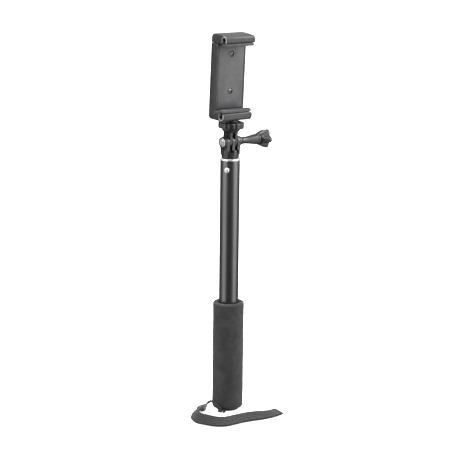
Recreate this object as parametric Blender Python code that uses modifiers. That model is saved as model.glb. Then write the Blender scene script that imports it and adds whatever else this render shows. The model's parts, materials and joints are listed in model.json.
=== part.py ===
"""Selfie stick: a three-stage friction pole with a foam grip, a tilting head and a spring phone clamp.

World frame: origin at the centre of the end cap's flat foot, +Z up the pole, +X along the hinge bolt
towards the thumb knob, -Y the front, which is the side that the phone sits on.
Sizes are in millimetres and are turned to metres where a mesh is made.
The head and the clamp are drawn upright about the hinge axis, and an empty leans them forward.
"""

import math

import bmesh
import bpy
from mathutils import Vector
from mathutils.geometry import interpolate_bezier

MM = 0.001
GAP = 0.3                 # between neighbours that would touch
ROUND_STEPS = 32          # facets round a turned part

# pole
OUTER_R = 9.1
OUTER_BORE_R = 8.2
OUTER_BOTTOM = 2.0
OUTER_TOP = 238.6
RING_R = 9.25
RING_HEIGHT = 1.65
MIDDLE_R = 6.5
MIDDLE_BORE_R = 5.8
MIDDLE_BOTTOM = 13.0
INNER_R = 4.7
INNER_BORE_R = 4.05
INNER_BOTTOM = 30.0
BUSH_LENGTH = 15.0
FOOT_LENGTH = 12.0
RIVET_HEIGHT = 230.3
RIVET_ANGLE = math.radians(212.7)

# grip, end cap and strap lug
GRIP_R = 14.5
GRIP_BOTTOM = 1.9
GRIP_TOP = 104.6
CAP_R = 10.7
CAP_HEIGHT = 1.6
LUG_ANGLE = math.radians(212.3)
LUG_BAR_AT = 16.6
LUG_BAR_R = 0.7

# head base and hinge
HINGE_HEIGHT = 255.5
BASE_R = 8.1
BASE_BOTTOM = 240.6
EAR_R = 5.6
EAR_FOOT = 4.6             # half depth of the ears where they leave the collar
EAR_THICK = 3.0
SLOT = 3.1
SLOT_DEPTH = 7.9
BOLT_R = 2.45
BOLT_HOLE_R = 2.62
BOSS_R = 5.15
BOSS_END = -9.7
NUT_FLATS = 7.8
STAR_TURN = math.radians(-12.0)

# adapter, lock wheel and stud, heights above the hinge axis
ADAPTER_EAR = 2.9
ADAPTER_R = 5.2
ADAPTER_SLOT_TOP = 9.2
CONE_BOTTOM = 9.5
CONE_TOP = 12.6
WHEEL_BOTTOM = 13.0
WHEEL_TOP = 18.5
WHEEL_R = 11.9
WHEEL_FLUTES = 10
STUD_R = 3.1
STUD_TOP = 24.8

# clamp, heights above the hinge axis
LEAN = math.radians(3.0)
CLAMP_HALF = 16.3
CLAMP_BACK = 13.4
CLAMP_FACE = 3.4
LIP_FRONT = -8.7
CLAMP_BOTTOM = 20.9
LOWER_LIP_TOP = 28.4
BODY_TOP = 90.3
HOOD_BOTTOM = 90.6
LIP_BOTTOM = 91.6
HOOD_TOP = 99.1
WALL = 1.6
PLATE_THICK = 2.0
PAD_HEIGHT = 2.8
PAD_FRONT = -8.3
RIB_FRONT = -6.6           # the pad's rib, from front to back
RIB_BACK = -3.8
PAD_BACK = -2.7
RIB_DEPTH = 2.35
SCREW_HEIGHTS = (46.4, 80.4)
SPRING_AT = 11.7
SPRING_BOTTOM = 47.3
SPRING_TOP = 87.1
SPRING_WIRE_R = 0.25
SPRING_COIL_R = 1.6
SPRING_TURNS = 11

# strap: route points as (x, y, z), millimetres
STRING_R = 0.6
STRING_INNER = (
    (-17.8, 8.3, 4.7), (-16.5, 7.2, 6.1), (-16.1, 5.2, 7.4), (-16.4, 2.2, 7.9), (-16.5, -1.7, 7.4),
    (-15.5, -5.1, 6.2), (-14.1, -7.5, 4.8),
)
STRING_OUTER = (
    (-16.1, -8.6, 5.3), (-17.3, -6.3, 7.5), (-18.0, -2.7, 9.2), (-17.9, 1.2, 9.8), (-17.5, 4.0, 9.2),
    (-17.9, 6.1, 7.6), (-18.9, 7.7, 5.6),
)
FERRULE_SMALL = (-20.0, 7.5, 4.7)
FERRULE_LARGE = (-29.9, 2.8, 3.5)
WEB_WIDTH = 10.5
WEB_THICK = 2.6
WEB_ROUTE = (             # with the bank of the band in degrees, its inner edge raised
    (-30.8, 2.3, 4.65, 35), (-36.7, -1.8, 4.95, 40), (-42.5, -6.8, 5.15, 45), (-47.3, -13.1, 5.25, 46),
    (-48.8, -20.5, 5.15, 44), (-45.9, -27.3, 4.95, 40), (-41.0, -35.2, 4.55, 33), (-34.1, -39.9, 4.25, 30),
    (-25.2, -40.7, 4.15, 30), (-15.3, -41.1, 4.15, 31), (-4.1, -42.5, 4.05, 29), (6.4, -44.8, 3.65, 22),
    (16.7, -45.5, 3.25, 16), (27.5, -43.8, 2.9, 12),
)

COLOURS = {
    "black_tube": ((0.030, 0.031, 0.033), 0.35, 0.6),
    "bright_steel": ((0.75, 0.76, 0.78), 0.2, 1.0),
    "foam": ((0.035, 0.035, 0.037), 0.95, 0.0),
    "cap_plastic": ((0.020, 0.020, 0.022), 0.5, 0.0),
    "string": ((0.025, 0.025, 0.027), 0.9, 0.0),
    "webbing": ((0.045, 0.045, 0.047), 0.9, 0.0),
    "ferrule_plastic": ((0.09, 0.09, 0.09), 0.4, 0.0),
    "bush_plastic": ((0.55, 0.55, 0.53), 0.5, 0.0),
    "head_plastic": ((0.032, 0.033, 0.036), 0.38, 0.0),
    "knob_plastic": ((0.035, 0.036, 0.039), 0.38, 0.0),
    "clamp_plastic": ((0.055, 0.057, 0.062), 0.45, 0.0),
    "pad_rubber": ((0.045, 0.045, 0.047), 0.8, 0.0),
    "brass": ((0.72, 0.52, 0.22), 0.3, 1.0),
    "spring_steel": ((0.55, 0.55, 0.56), 0.3, 1.0),
}


# ---------------------------------------------------------------- scene and materials

def clear_scene():
    for obj in list(bpy.data.objects):
        bpy.data.objects.remove(obj, do_unlink=True)


def new_collection(name):
    collection = bpy.data.collections.new(name)
    bpy.context.scene.collection.children.link(collection)
    return collection


def material(name):
    found = bpy.data.materials.get(name)
    if found:
        return found
    colour, roughness, metallic = COLOURS[name]
    made = bpy.data.materials.new(name)
    made.use_nodes = True
    shader = made.node_tree.nodes["Principled BSDF"]
    shader.inputs["Base Color"].default_value = (*colour, 1.0)
    shader.inputs["Roughness"].default_value = roughness
    shader.inputs["Metallic"].default_value = metallic
    return made


def empty(name, location=(0, 0, 0), rotation=(0, 0, 0), parent=None):
    obj = bpy.data.objects.new(name, None)
    obj.empty_display_size = 0.01
    obj.location = Vector(location) * MM
    obj.rotation_euler = rotation
    obj.parent = parent
    PARTS.objects.link(obj)
    return obj


def place(obj, parent=None, location=(0, 0, 0), rotation=(0, 0, 0), look=None):
    obj.parent = parent
    obj.location = Vector(location) * MM
    obj.rotation_euler = rotation
    if look:
        obj.data.materials.clear()
        obj.data.materials.append(material(look))
    return obj


# ---------------------------------------------------------------- outlines

def arc(centre, radius, start, end, steps):
    """Points on an arc from start to end degrees."""
    angles = [math.radians(start + (end - start) * i / steps) for i in range(steps + 1)]
    return [(centre[0] + radius * math.cos(a), centre[1] + radius * math.sin(a)) for a in angles]


def rounded(corners, steps=4):
    """An outline from (x, y, radius) corners, each with its radius drawn as an arc."""
    points = []
    count = len(corners)
    for i, (x, y, radius) in enumerate(corners):
        here = Vector((x, y))
        if radius == 0:
            points.append((x, y))
            continue
        before = (Vector(corners[i - 1][:2]) - here).normalized()
        after = (Vector(corners[(i + 1) % count][:2]) - here).normalized()
        half = before.angle(after) / 2
        centre = here + (before + after).normalized() * radius / math.sin(half)
        first = here + before * radius / math.tan(half) - centre
        last = here + after * radius / math.tan(half) - centre
        start = math.atan2(first.y, first.x)
        turn = (math.atan2(last.y, last.x) - start + math.pi) % (2 * math.pi) - math.pi
        for k in range(steps + 1):
            angle = start + turn * k / steps
            points.append((centre.x + radius * math.cos(angle), centre.y + radius * math.sin(angle)))
    return points


def smooth_route(points, spacing):
    """Points about one spacing apart on a smooth curve through the given points."""
    nodes = [Vector(p) for p in points]
    ends = [2 * nodes[0] - nodes[1], *nodes, 2 * nodes[-1] - nodes[-2]]
    route = [nodes[0]]
    for i in range(1, len(ends) - 2):
        start, end = ends[i], ends[i + 1]
        reach = (end - start).length / 3
        lean_out = start + (end - ends[i - 1]).normalized() * reach
        lean_in = end - (ends[i + 2] - start).normalized() * reach
        count = max(2, round((end - start).length / spacing) + 1)
        route += interpolate_bezier(start, lean_out, lean_in, end, count)[1:]
    return route


# ---------------------------------------------------------------- solids

def add_mesh(name, mesh, collection=None):
    obj = bpy.data.objects.new(name, mesh)
    (collection or PARTS).objects.link(obj)
    return obj


def turned(name, profile, steps=ROUND_STEPS, collection=None):
    """A turned part: a closed loop of (radius, height) points, its outer side listed from top to bottom."""
    mesh = bpy.data.meshes.new(name)
    count = len(profile)
    on_axis = profile[0][0] == 0 and profile[-1][0] == 0
    edges = [(i, i + 1) for i in range(count - 1)]
    if not on_axis:
        edges.append((count - 1, 0))
    mesh.from_pydata([(r * MM, 0, z * MM) for r, z in profile], edges, [])
    obj = add_mesh(name, mesh, collection)
    screw = obj.modifiers.new("turn", "SCREW")
    screw.axis = "Z"
    screw.angle = 2 * math.pi
    screw.steps = steps
    screw.render_steps = steps
    screw.use_merge_vertices = True
    screw.merge_threshold = 0.00001
    return obj


def tube(name, outer, inner, bottom, top, steps=ROUND_STEPS, chamfer=0.2, collection=None):
    profile = [
        (inner, top), (outer - chamfer, top), (outer, top - chamfer),
        (outer, bottom + chamfer), (outer - chamfer, bottom), (inner, bottom),
    ]
    return turned(name, profile, steps, collection)


def rod(name, radius, bottom, top, steps=24, chamfer=0.2, collection=None):
    profile = [
        (0, top), (radius - chamfer, top), (radius, top - chamfer),
        (radius, bottom + chamfer), (radius - chamfer, bottom), (0, bottom),
    ]
    return turned(name, profile, steps, collection)


def block(name, low, high, bevel=0.0, collection=None):
    """A box between two corners, its edges rounded by the bevel width."""
    mesh = bpy.data.meshes.new(name)
    shape = bmesh.new()
    bmesh.ops.create_cube(shape, size=1.0)
    low, high = Vector(low), Vector(high)
    bmesh.ops.scale(shape, vec=(high - low) * MM, verts=shape.verts)
    bmesh.ops.translate(shape, vec=(high + low) / 2 * MM, verts=shape.verts)
    shape.to_mesh(mesh)
    shape.free()
    obj = add_mesh(name, mesh, collection)
    if bevel:
        edge = obj.modifiers.new("edges", "BEVEL")
        edge.width = bevel * MM
        edge.segments = 2
    return obj


def plate(name, outline, low, high, axis="Z", bevel=0.0, collection=None):
    """A flat outline given its thickness. axis Z: points are (x, y); axis X: points are (y, z);
    axis Y: points are (x, z), and low to high runs along -Y."""
    curve = bpy.data.curves.new(name, "CURVE")
    curve.dimensions = "2D"
    curve.fill_mode = "BOTH"
    curve.extrude = (high - low) / 2 * MM
    spline = curve.splines.new("POLY")
    spline.points.add(len(outline) - 1)
    for point, (x, y) in zip(spline.points, outline):
        point.co = (x * MM, y * MM, 0, 1)
    spline.use_cyclic_u = True
    flat = add_mesh(name + "_outline", curve, collection)
    middle = (low + high) / 2
    if axis == "X":
        flat.rotation_euler = (math.pi / 2, 0, math.pi / 2)
        flat.location = (middle * MM, 0, 0)
    elif axis == "Y":
        flat.rotation_euler = (math.pi / 2, 0, 0)
        flat.location = (0, -middle * MM, 0)
    else:
        flat.location = (0, 0, middle * MM)
    mesh = solid_mesh(flat, name)
    obj = add_mesh(name, mesh, collection)
    if bevel:
        edge = obj.modifiers.new("edges", "BEVEL")
        edge.width = bevel * MM
        edge.segments = 2
        edge.limit_method = "ANGLE"
        edge.angle_limit = math.radians(50)
    return obj


def solid_mesh(curve_object, name):
    """The closed mesh of a curve object, in its place. The curve object is removed."""
    bpy.context.view_layer.update()
    seen = curve_object.evaluated_get(bpy.context.evaluated_depsgraph_get())
    mesh = bpy.data.meshes.new_from_object(seen)
    mesh.name = name
    shape = bmesh.new()
    shape.from_mesh(mesh)
    bmesh.ops.remove_doubles(shape, verts=shape.verts, dist=0.000001)
    bmesh.ops.recalc_face_normals(shape, faces=shape.faces)
    shape.transform(curve_object.matrix_world)
    shape.to_mesh(mesh)
    shape.free()
    bpy.data.objects.remove(curve_object, do_unlink=True)
    return mesh


def wire(name, route, radius, resolution=2):
    """A round wire or cord along the route, with filled ends."""
    curve = bpy.data.curves.new(name, "CURVE")
    curve.dimensions = "3D"
    curve.bevel_depth = radius * MM
    curve.bevel_resolution = resolution
    curve.use_fill_caps = True
    spline = curve.splines.new("POLY")
    spline.points.add(len(route) - 1)
    for point, place_at in zip(spline.points, route):
        point.co = (*(Vector(place_at) * MM), 1)
    return add_mesh(name, curve)


def boolean(target, tool, operation):
    """Cuts target with the tool or joins the tool to it. The tool stays, out of the render."""
    tool.hide_render = True
    tool.display_type = "WIRE"
    for collection in list(tool.users_collection):
        collection.objects.unlink(tool)
    CUTTERS.objects.link(tool)
    step = target.modifiers.new(operation.lower(), "BOOLEAN")
    step.operation = operation
    step.object = tool
    step.solver = "EXACT"


def cut(target, *tools):
    for tool in tools:
        tool.parent = target.parent
        boolean(target, tool, "DIFFERENCE")


def join(target, *tools):
    for tool in tools:
        tool.parent = target.parent
        boolean(target, tool, "UNION")


def turn_along_x(obj):
    """Lays a part that was turned about Z along +X."""
    obj.rotation_euler = (0, math.pi / 2, 0)
    return obj


def turn_along_y(obj, x, z):
    """Lays a part that was turned about Z along -Y, through (x, z)."""
    obj.rotation_euler = (math.pi / 2, 0, 0)
    obj.location = Vector((x, 0, z)) * MM
    return obj


# ---------------------------------------------------------------- pole and grip

def rivet_cutter(radius, collection):
    """A radial rod through one wall of the outer tube at the rivet."""
    tool = rod("rivet_hole", radius, MIDDLE_R - 1.0, OUTER_R + 2.0, collection=collection)
    tool.rotation_euler = (0, math.pi / 2, RIVET_ANGLE)
    tool.location = (0, 0, RIVET_HEIGHT * MM)
    return tool


def make_outer_stage():
    pole = tube("outer_tube", OUTER_R, OUTER_BORE_R, OUTER_BOTTOM, OUTER_TOP)
    place(pole, look="black_tube")
    cut(pole, rivet_cutter(1.7, CUTTERS))

    bush = tube("guide_bush", OUTER_BORE_R - 0.12, MIDDLE_R + 0.15, OUTER_TOP - BUSH_LENGTH, OUTER_TOP)
    place(bush, look="bush_plastic")
    cut(bush, rivet_cutter(1.7, CUTTERS))

    bottom = OUTER_TOP + 0.15
    ring = turned("collar_ring", [
        (MIDDLE_R + 0.3, bottom + RING_HEIGHT), (RING_R - 0.5, bottom + RING_HEIGHT),
        (RING_R - 0.15, bottom + RING_HEIGHT - 0.15), (RING_R, bottom + RING_HEIGHT - 0.5),
        (RING_R, bottom + 0.2), (RING_R - 0.1, bottom), (MIDDLE_R + 0.3, bottom),
    ])
    place(ring, look="bright_steel")

    head_r, head_rise, shank_r = 2.55, 1.35, 1.45
    surface = OUTER_R + 0.25
    rivet = turned("bush_rivet", [
        (0, surface + head_rise - 0.6), (0.45, surface + head_rise - 0.5), (0.7, surface + head_rise),
        (1.5, surface + head_rise - 0.12), (2.2, surface + head_rise - 0.55),
        (head_r, surface + 0.35), (head_r, surface), (shank_r, surface),
        (shank_r, MIDDLE_R + 0.5), (0, MIDDLE_R + 0.5),
    ], steps=24)
    place(rivet, location=(0, 0, RIVET_HEIGHT), rotation=(0, math.pi / 2, RIVET_ANGLE), look="bright_steel")

    top_edge = arc((GRIP_R - 1.8, GRIP_TOP - 1.8), 1.8, 90, 0, 3)
    bottom_edge = arc((GRIP_R - 2.5, GRIP_BOTTOM + 2.5), 2.5, 0, -90, 4)
    grip = turned("foam_grip", [
        (OUTER_R + 0.9, GRIP_TOP), *top_edge, *bottom_edge,
        (OUTER_R + 0.25, GRIP_BOTTOM), (OUTER_R + 0.25, GRIP_TOP - 2.0),
    ], steps=40)
    place(grip, look="foam")


def make_end_cap():
    plug_r = OUTER_BORE_R - 0.15
    cap = turned("end_cap", [
        (0, 11.0), (plug_r - 0.5, 11.0), (plug_r, 10.5), (plug_r, CAP_HEIGHT), (CAP_R - 0.3, CAP_HEIGHT),
        (CAP_R, CAP_HEIGHT - 0.3), (CAP_R, 0.4), (CAP_R - 0.4, 0), (0, 0),
    ])
    place(cap, look="cap_plastic")
    lug = empty("lug_direction", rotation=(0, 0, LUG_ANGLE))
    tab = block("lug_tab", (CAP_R - 2.0, -2.8, 0.25), (14.0, 2.8, CAP_HEIGHT - 0.2), collection=CUTTERS)
    boolean(cap, tab, "UNION")
    tab.parent = lug
    for side in (-1, 1):
        inner, outer = sorted((side * 1.7, side * 3.1))
        outline = rounded([
            (12.9, 0.1, 0), (17.5, 0.1, 0.6), (17.5, 3.0, 0.9), (15.2, 3.0, 0.4), (14.3, 1.5, 0), (12.9, 1.5, 0),
        ], 2)
        cheek = plate("lug_cheek", outline, inner, outer, axis="Y", collection=CUTTERS)
        boolean(cap, cheek, "UNION")
        cheek.parent = lug
    bar = rod("lug_bar", LUG_BAR_R, -2.4, 2.4, steps=12, chamfer=0.05, collection=CUTTERS)
    bar.rotation_euler = (math.pi / 2, 0, 0)
    bar.location = Vector((LUG_BAR_AT, 0, 1.95)) * MM
    boolean(cap, bar, "UNION")
    bar.parent = lug


def make_inner_stages(middle_slide, inner_slide):
    middle_top = OUTER_TOP + RING_HEIGHT
    middle = tube("middle_tube", MIDDLE_R, MIDDLE_BORE_R, MIDDLE_BOTTOM, middle_top)
    place(middle, middle_slide, look="black_tube")
    foot = tube("middle_foot_bush", OUTER_BORE_R - 0.2, MIDDLE_R + 0.1, MIDDLE_BOTTOM, MIDDLE_BOTTOM + FOOT_LENGTH)
    place(foot, middle_slide, look="bush_plastic")
    mouth = tube("middle_guide_bush", MIDDLE_BORE_R - 0.1, INNER_R + 0.15, middle_top - BUSH_LENGTH, middle_top - 0.2)
    place(mouth, middle_slide, look="bush_plastic")

    inner = tube("inner_tube", INNER_R, INNER_BORE_R, INNER_BOTTOM, BASE_BOTTOM - GAP, steps=32)
    place(inner, inner_slide, look="black_tube")
    hole = rod("pin_hole", 0.95, -6.0, 6.0, steps=16, collection=CUTTERS)
    hole.rotation_euler = (math.pi / 2, 0, 0)
    hole.location = (0, 0, 234.0 * MM)
    cut(inner, hole)
    foot = tube("inner_foot_bush", MIDDLE_BORE_R - 0.15, INNER_R + 0.1, INNER_BOTTOM, INNER_BOTTOM + FOOT_LENGTH, steps=32)
    place(foot, inner_slide, look="bush_plastic")
    pin = rod("head_pin", 0.8, -INNER_R + 0.2, INNER_R - 0.2, steps=16)
    place(pin, inner_slide, (0, 0, 234.0), (math.pi / 2, 0, 0), "bright_steel")


# ---------------------------------------------------------------- head

def make_head_base(inner_slide):
    base = turned("head_base", [
        (0, 248.4), (BASE_R - 0.7, 248.4), (BASE_R, 247.7), (BASE_R, BASE_BOTTOM + 0.9),
        (BASE_R - 0.9, BASE_BOTTOM), (INNER_BORE_R - 0.15, BASE_BOTTOM), (INNER_BORE_R - 0.15, 229.5),
        (INNER_BORE_R - 0.55, 229.1), (0, 229.1),
    ], steps=36)
    place(base, inner_slide, look="head_plastic")
    width = 3 * EAR_THICK + 2 * SLOT
    foot = BASE_BOTTOM + 3.0
    crown = arc((0, HINGE_HEIGHT), EAR_R, 0, 180, 16)
    ears = plate("ear_block", [(-EAR_FOOT, foot), (EAR_FOOT, foot), *crown], -width / 2, width / 2, "X",
                 collection=CUTTERS)
    boss = turn_along_x(rod("nut_boss", BOSS_R, BOSS_END, -width / 2 + 1.0, steps=28, chamfer=0.4, collection=CUTTERS))
    boss.location = (0, 0, HINGE_HEIGHT * MM)
    join(base, ears, boss)
    for side in (-1, 1):
        middle = side * (EAR_THICK + SLOT) / 2
        bottom = HINGE_HEIGHT - SLOT_DEPTH
        outline = [(middle + SLOT / 2, 270), (middle - SLOT / 2, 270), *arc((middle, bottom), SLOT / 2, 180, 360, 6)]
        cut(base, plate("ear_slot", outline, -12, 12, "Y", collection=CUTTERS))
    hole = turn_along_x(rod("bolt_hole", BOLT_HOLE_R, -12, 12, 25, collection=CUTTERS))
    hole.location = (0, 0, HINGE_HEIGHT * MM)
    pocket = turn_along_x(rod("nut_pocket", (NUT_FLATS / 2 + 0.15) / math.cos(math.pi / 6), -12, -7.15, 6, 0.06, CUTTERS))
    pocket.location = (0, 0, HINGE_HEIGHT * MM)
    pin = rod("base_pin_hole", 0.95, -6.0, 6.0, steps=16, collection=CUTTERS)
    pin.rotation_euler = (math.pi / 2, 0, 0)
    pin.location = (0, 0, 234.0 * MM)
    cut(base, hole, pocket, pin)

    nut = turned("hinge_nut", [
        (BOLT_HOLE_R + 0.03, -7.45), (NUT_FLATS / 2 / math.cos(math.pi / 6), -7.45),
        (NUT_FLATS / 2 / math.cos(math.pi / 6), -9.2), (NUT_FLATS / 2, -9.6), (BOLT_HOLE_R + 0.03, -9.6),
    ], steps=6)
    place(turn_along_x(nut), inner_slide, (0, 0, HINGE_HEIGHT), (0, math.pi / 2, 0), "bright_steel")
    round_bore(nut, "nut_bore", BOLT_HOLE_R)


def round_bore(nut, name, radius):
    """Opens the six-sided bore of a turned hexagon to a round one."""
    bore = rod(name, radius, -12.0, -6.0, collection=CUTTERS)
    bore.rotation_euler = nut.rotation_euler
    bore.location = nut.location
    cut(nut, bore)


def star_outline(points_per_lobe=8, lobes=5, outer=9.2, valley=6.3):
    """Five broad lobes with hollows between them."""
    outline = []
    for i in range(lobes * points_per_lobe):
        angle = 2 * math.pi * i / (lobes * points_per_lobe)
        swell = math.cos(lobes * (angle - STAR_TURN) / 2) ** 2
        radius = valley + (outer - valley) * swell ** 0.55
        outline.append((radius * math.cos(angle), radius * math.sin(angle)))
    return outline


def make_thumb_screw(knob_axis):
    """The knob axis empty has its Z along the bolt, so heights here run along +X of the world."""
    bolt = rod("hinge_bolt", BOLT_R, -9.8, 24.0)
    place(bolt, knob_axis, look="bright_steel")
    knob = turned("thumb_knob", [
        (0, 41.0), (5.2, 41.0), (5.2, 34.9), (5.7, 34.6), (5.7, 32.6), (5.0, 32.4), (5.0, 30.6),
        (3.9, 22.0), (3.2, 15.0), (4.2, 10.8), (4.55, 10.2), (4.55, 7.85), (BOLT_R + 0.15, 7.85),
        (BOLT_R + 0.15, 24.3), (0, 24.3),
    ], steps=30)
    place(knob, knob_axis, look="knob_plastic")
    star = plate("knob_star", star_outline(), 32.9, 42.5, bevel=0.4, collection=CUTTERS)
    flare = turned("knob_flare", [(0, 44.0), (9.9, 44.0), (9.5, 41.2), (5.9, 32.0), (0, 32.0)], collection=CUTTERS)
    boolean(star, flare, "INTERSECT")
    flare.parent = knob.parent
    join(knob, star)


def make_tilt_head(tilt_axis):
    adapter = turned("two_ear_adapter", [
        (0, CONE_TOP), (8.4, CONE_TOP), (8.6, CONE_TOP - 0.3), (8.6, CONE_TOP - 0.8), (6.65, CONE_BOTTOM), (0, CONE_BOTTOM),
    ])
    place(adapter, tilt_axis, look="head_plastic")
    half = SLOT / 2 + 0.05 + ADAPTER_EAR
    foot = arc((0, 0), ADAPTER_R, 180, 360, 12)
    neck = plate("neck", [*foot, (ADAPTER_R, CONE_TOP - 1.5), (-ADAPTER_R, CONE_TOP - 1.5)], -half, half, "X", collection=CUTTERS)
    join(adapter, neck)
    top = arc((0, ADAPTER_SLOT_TOP - SLOT / 2), SLOT / 2 + 0.05, 0, 180, 6)
    gap = plate("neck_slot", [*top, (-SLOT / 2 - 0.05, -9), (SLOT / 2 + 0.05, -9)], -9, 9, "Y", collection=CUTTERS)
    hole = turn_along_x(rod("neck_bolt_hole", BOLT_HOLE_R, -9, 9, collection=CUTTERS))
    socket = rod("stud_socket", STUD_R + 0.15, CONE_BOTTOM + 0.4, CONE_TOP + 2, chamfer=0.05, collection=CUTTERS)
    cut(adapter, gap, hole, socket)
    stud = rod("tripod_stud", STUD_R, CONE_BOTTOM + 0.7, STUD_TOP, chamfer=0.6)
    place(stud, tilt_axis, look="bright_steel")


def wheel_outline():
    """A round wheel with shallow finger flutes."""
    outline = []
    count = WHEEL_FLUTES * 5
    for i in range(count):
        angle = 2 * math.pi * i / count
        dip = max(0.0, math.cos(WHEEL_FLUTES * angle)) ** 2
        radius = WHEEL_R - 0.7 * dip
        outline.append((radius * math.cos(angle), radius * math.sin(angle)))
    return outline


def make_lock_wheel(tilt_axis):
    wheel = plate("lock_wheel", wheel_outline(), WHEEL_BOTTOM, WHEEL_TOP, bevel=0.6)
    place(wheel, tilt_axis, look="knob_plastic")
    cut(wheel, rod("wheel_bore", STUD_R + 0.2, WHEEL_BOTTOM - 2, WHEEL_TOP + 2, collection=CUTTERS))


# ---------------------------------------------------------------- clamp

def make_clamp_body(swivel):
    lip_line = LOWER_LIP_TOP - 0.3
    outline = rounded([
        (LIP_FRONT, CLAMP_BOTTOM, 2.2), (CLAMP_BACK, CLAMP_BOTTOM, 3.0), (CLAMP_BACK, BODY_TOP, 0.3),
        (CLAMP_FACE, BODY_TOP, 0.3), (CLAMP_FACE, LOWER_LIP_TOP, 0.8), (LIP_FRONT, lip_line, 1.0),
    ])
    body = plate("clamp_body", outline, -CLAMP_HALF, CLAMP_HALF, "X", bevel=0.5)
    place(body, swivel, look="clamp_plastic")
    inside = CLAMP_HALF - WALL
    cavity = block("clamp_cavity", (-inside, -2.0, LOWER_LIP_TOP + 2.0), (inside, CLAMP_BACK - WALL, BODY_TOP + 5), collection=CUTTERS)
    groove = block("lower_lip_groove", (-20, RIB_FRONT - GAP, LOWER_LIP_TOP - RIB_DEPTH - 0.05), (20, RIB_BACK + GAP, 33.0),
                   collection=CUTTERS)
    cut(body, cavity, groove)
    for height in SCREW_HEIGHTS:
        post = turn_along_y(rod("screw_post", 2.8, -CLAMP_BACK + 1.0, -CLAMP_FACE - PLATE_THICK - GAP, 20, 0.1, CUTTERS), 0, height)
        join(body, post)
    for side in (-1, 1):
        inner, outer = sorted((side * 9.5, side * (inside + 0.8)))
        shelf = block("spring_stop", (inner, CLAMP_FACE + PLATE_THICK + 0.4, SPRING_TOP + GAP), (outer, CLAMP_BACK - 1.0, BODY_TOP - 0.4),
                      collection=CUTTERS)
        join(body, shelf)
    join(body, rod("insert_boss", 6.5, CLAMP_BOTTOM - 1.9, CLAMP_BOTTOM + 2.0, 32, 0.3, CUTTERS))
    cut(body, rod("insert_pocket", 4.9, CLAMP_BOTTOM - 4.0, CLAMP_BOTTOM + 4.4, 28, 0.05, CUTTERS))
    for height in SCREW_HEIGHTS:
        cut(body, turn_along_y(rod("pilot_hole", 1.35, -10.4, 0.0, 16, 0.05, CUTTERS), 0, height))

    insert = tube("threaded_insert", 4.7, STUD_R + 0.2, CLAMP_BOTTOM - 1.6, CLAMP_BOTTOM + 4.0, 28)
    place(insert, swivel, look="brass")


def make_face_plate(swivel):
    inside = CLAMP_HALF - WALL - GAP
    back = CLAMP_FACE + PLATE_THICK
    cover = block("face_plate", (-inside, CLAMP_FACE + 0.15, LOWER_LIP_TOP + 2.3), (inside, back, BODY_TOP - GAP), bevel=0.3)
    place(cover, swivel, look="clamp_plastic")
    for label, height in zip(("lower", "upper"), SCREW_HEIGHTS):
        cut(cover, turn_along_y(rod("counterbore", 2.75, -CLAMP_FACE - 1.3, 2.0, 20, 0.05, CUTTERS), 0, height))
        cut(cover, turn_along_y(rod("clearance_hole", 1.4, -8.0, 2.0, 16, 0.05, CUTTERS), 0, height))
        seat = CLAMP_FACE + 1.3
        screw = turned(label + "_plate_screw", [
            (0, -seat + 0.9), (1.3, -seat + 0.85), (2.1, -seat + 0.5), (2.3, -seat + 0.15), (2.3, -seat + 0.1),
            (1.15, -seat + 0.1), (1.15, -9.6), (0, -10.0),
        ], steps=20)
        place(screw, swivel, (0, 0, height), (math.pi / 2, 0, 0), "bright_steel")


def make_pad(name, parent, lip_edge, grip_side):
    """A rubber strip on a lip, with its rib pressed into the lip's groove. grip_side is +1 up or -1 down."""
    base = lip_edge + grip_side * 0.25
    face = base + grip_side * PAD_HEIGHT
    root = base - grip_side * RIB_DEPTH
    outline = [
        (RIB_FRONT, base), (RIB_FRONT, root), (RIB_BACK, root), (RIB_BACK, base), (PAD_BACK, base),
        (PAD_BACK, face), (PAD_FRONT, face), (PAD_FRONT, base),
    ]
    pad = plate(name, outline, -CLAMP_HALF + 0.4, CLAMP_HALF - 0.4, "X")
    place(pad, parent, look="pad_rubber")


def make_upper_jaw(jaw_slide):
    outline = rounded([
        (LIP_FRONT - 0.4, LIP_BOTTOM, 0.8), (-2.3, LIP_BOTTOM, 0.6), (-1.3, HOOD_BOTTOM, 0.6), (CLAMP_BACK, HOOD_BOTTOM, 0.3),
        (CLAMP_BACK, HOOD_TOP, 4.5), (LIP_FRONT - 0.4, HOOD_TOP - 1.1, 1.8),
    ])
    jaw = plate("upper_jaw", outline, -CLAMP_HALF, CLAMP_HALF, "X")
    place(jaw, jaw_slide, look="clamp_plastic")
    cut(jaw, block("upper_lip_groove", (-20, RIB_FRONT - GAP, 86.0), (20, RIB_BACK + 0.4, LIP_BOTTOM + RIB_DEPTH + 0.05),
                   collection=CUTTERS))
    front = CLAMP_FACE + PLATE_THICK + 0.4
    for side in (-1, 1):
        inner, outer = sorted((side * 3.4, side * 9.0))
        leg = block("slider_leg", (inner, front, 44.0), (outer, front + 2.0, HOOD_BOTTOM + 2.0), collection=CUTTERS)
        inner, outer = sorted((side * 3.45, side * 13.4))
        shoe = block("slider_shoe", (inner, front + 0.05, 43.0), (outer, front + 4.9, SPRING_BOTTOM - GAP), collection=CUTTERS)
        join(jaw, leg, shoe)


def make_jaw_spring(name, swivel, side):
    """A compression spring between the slider's shoe and the stop at the top of the clamp body."""
    coils = SPRING_TURNS * 7
    rise = SPRING_TOP - SPRING_BOTTOM - 2 * SPRING_WIRE_R
    route = []
    for i in range(coils + 1):
        angle = 2 * math.pi * i / 7
        route.append((
            SPRING_COIL_R * math.cos(angle), SPRING_COIL_R * math.sin(angle),
            SPRING_BOTTOM + SPRING_WIRE_R + rise * i / coils,
        ))
    spring = wire(name, route, SPRING_WIRE_R, 1)
    place(spring, swivel, (side * SPRING_AT, 8.3, 0), look="spring_steel")


# ---------------------------------------------------------------- wrist strap

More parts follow.
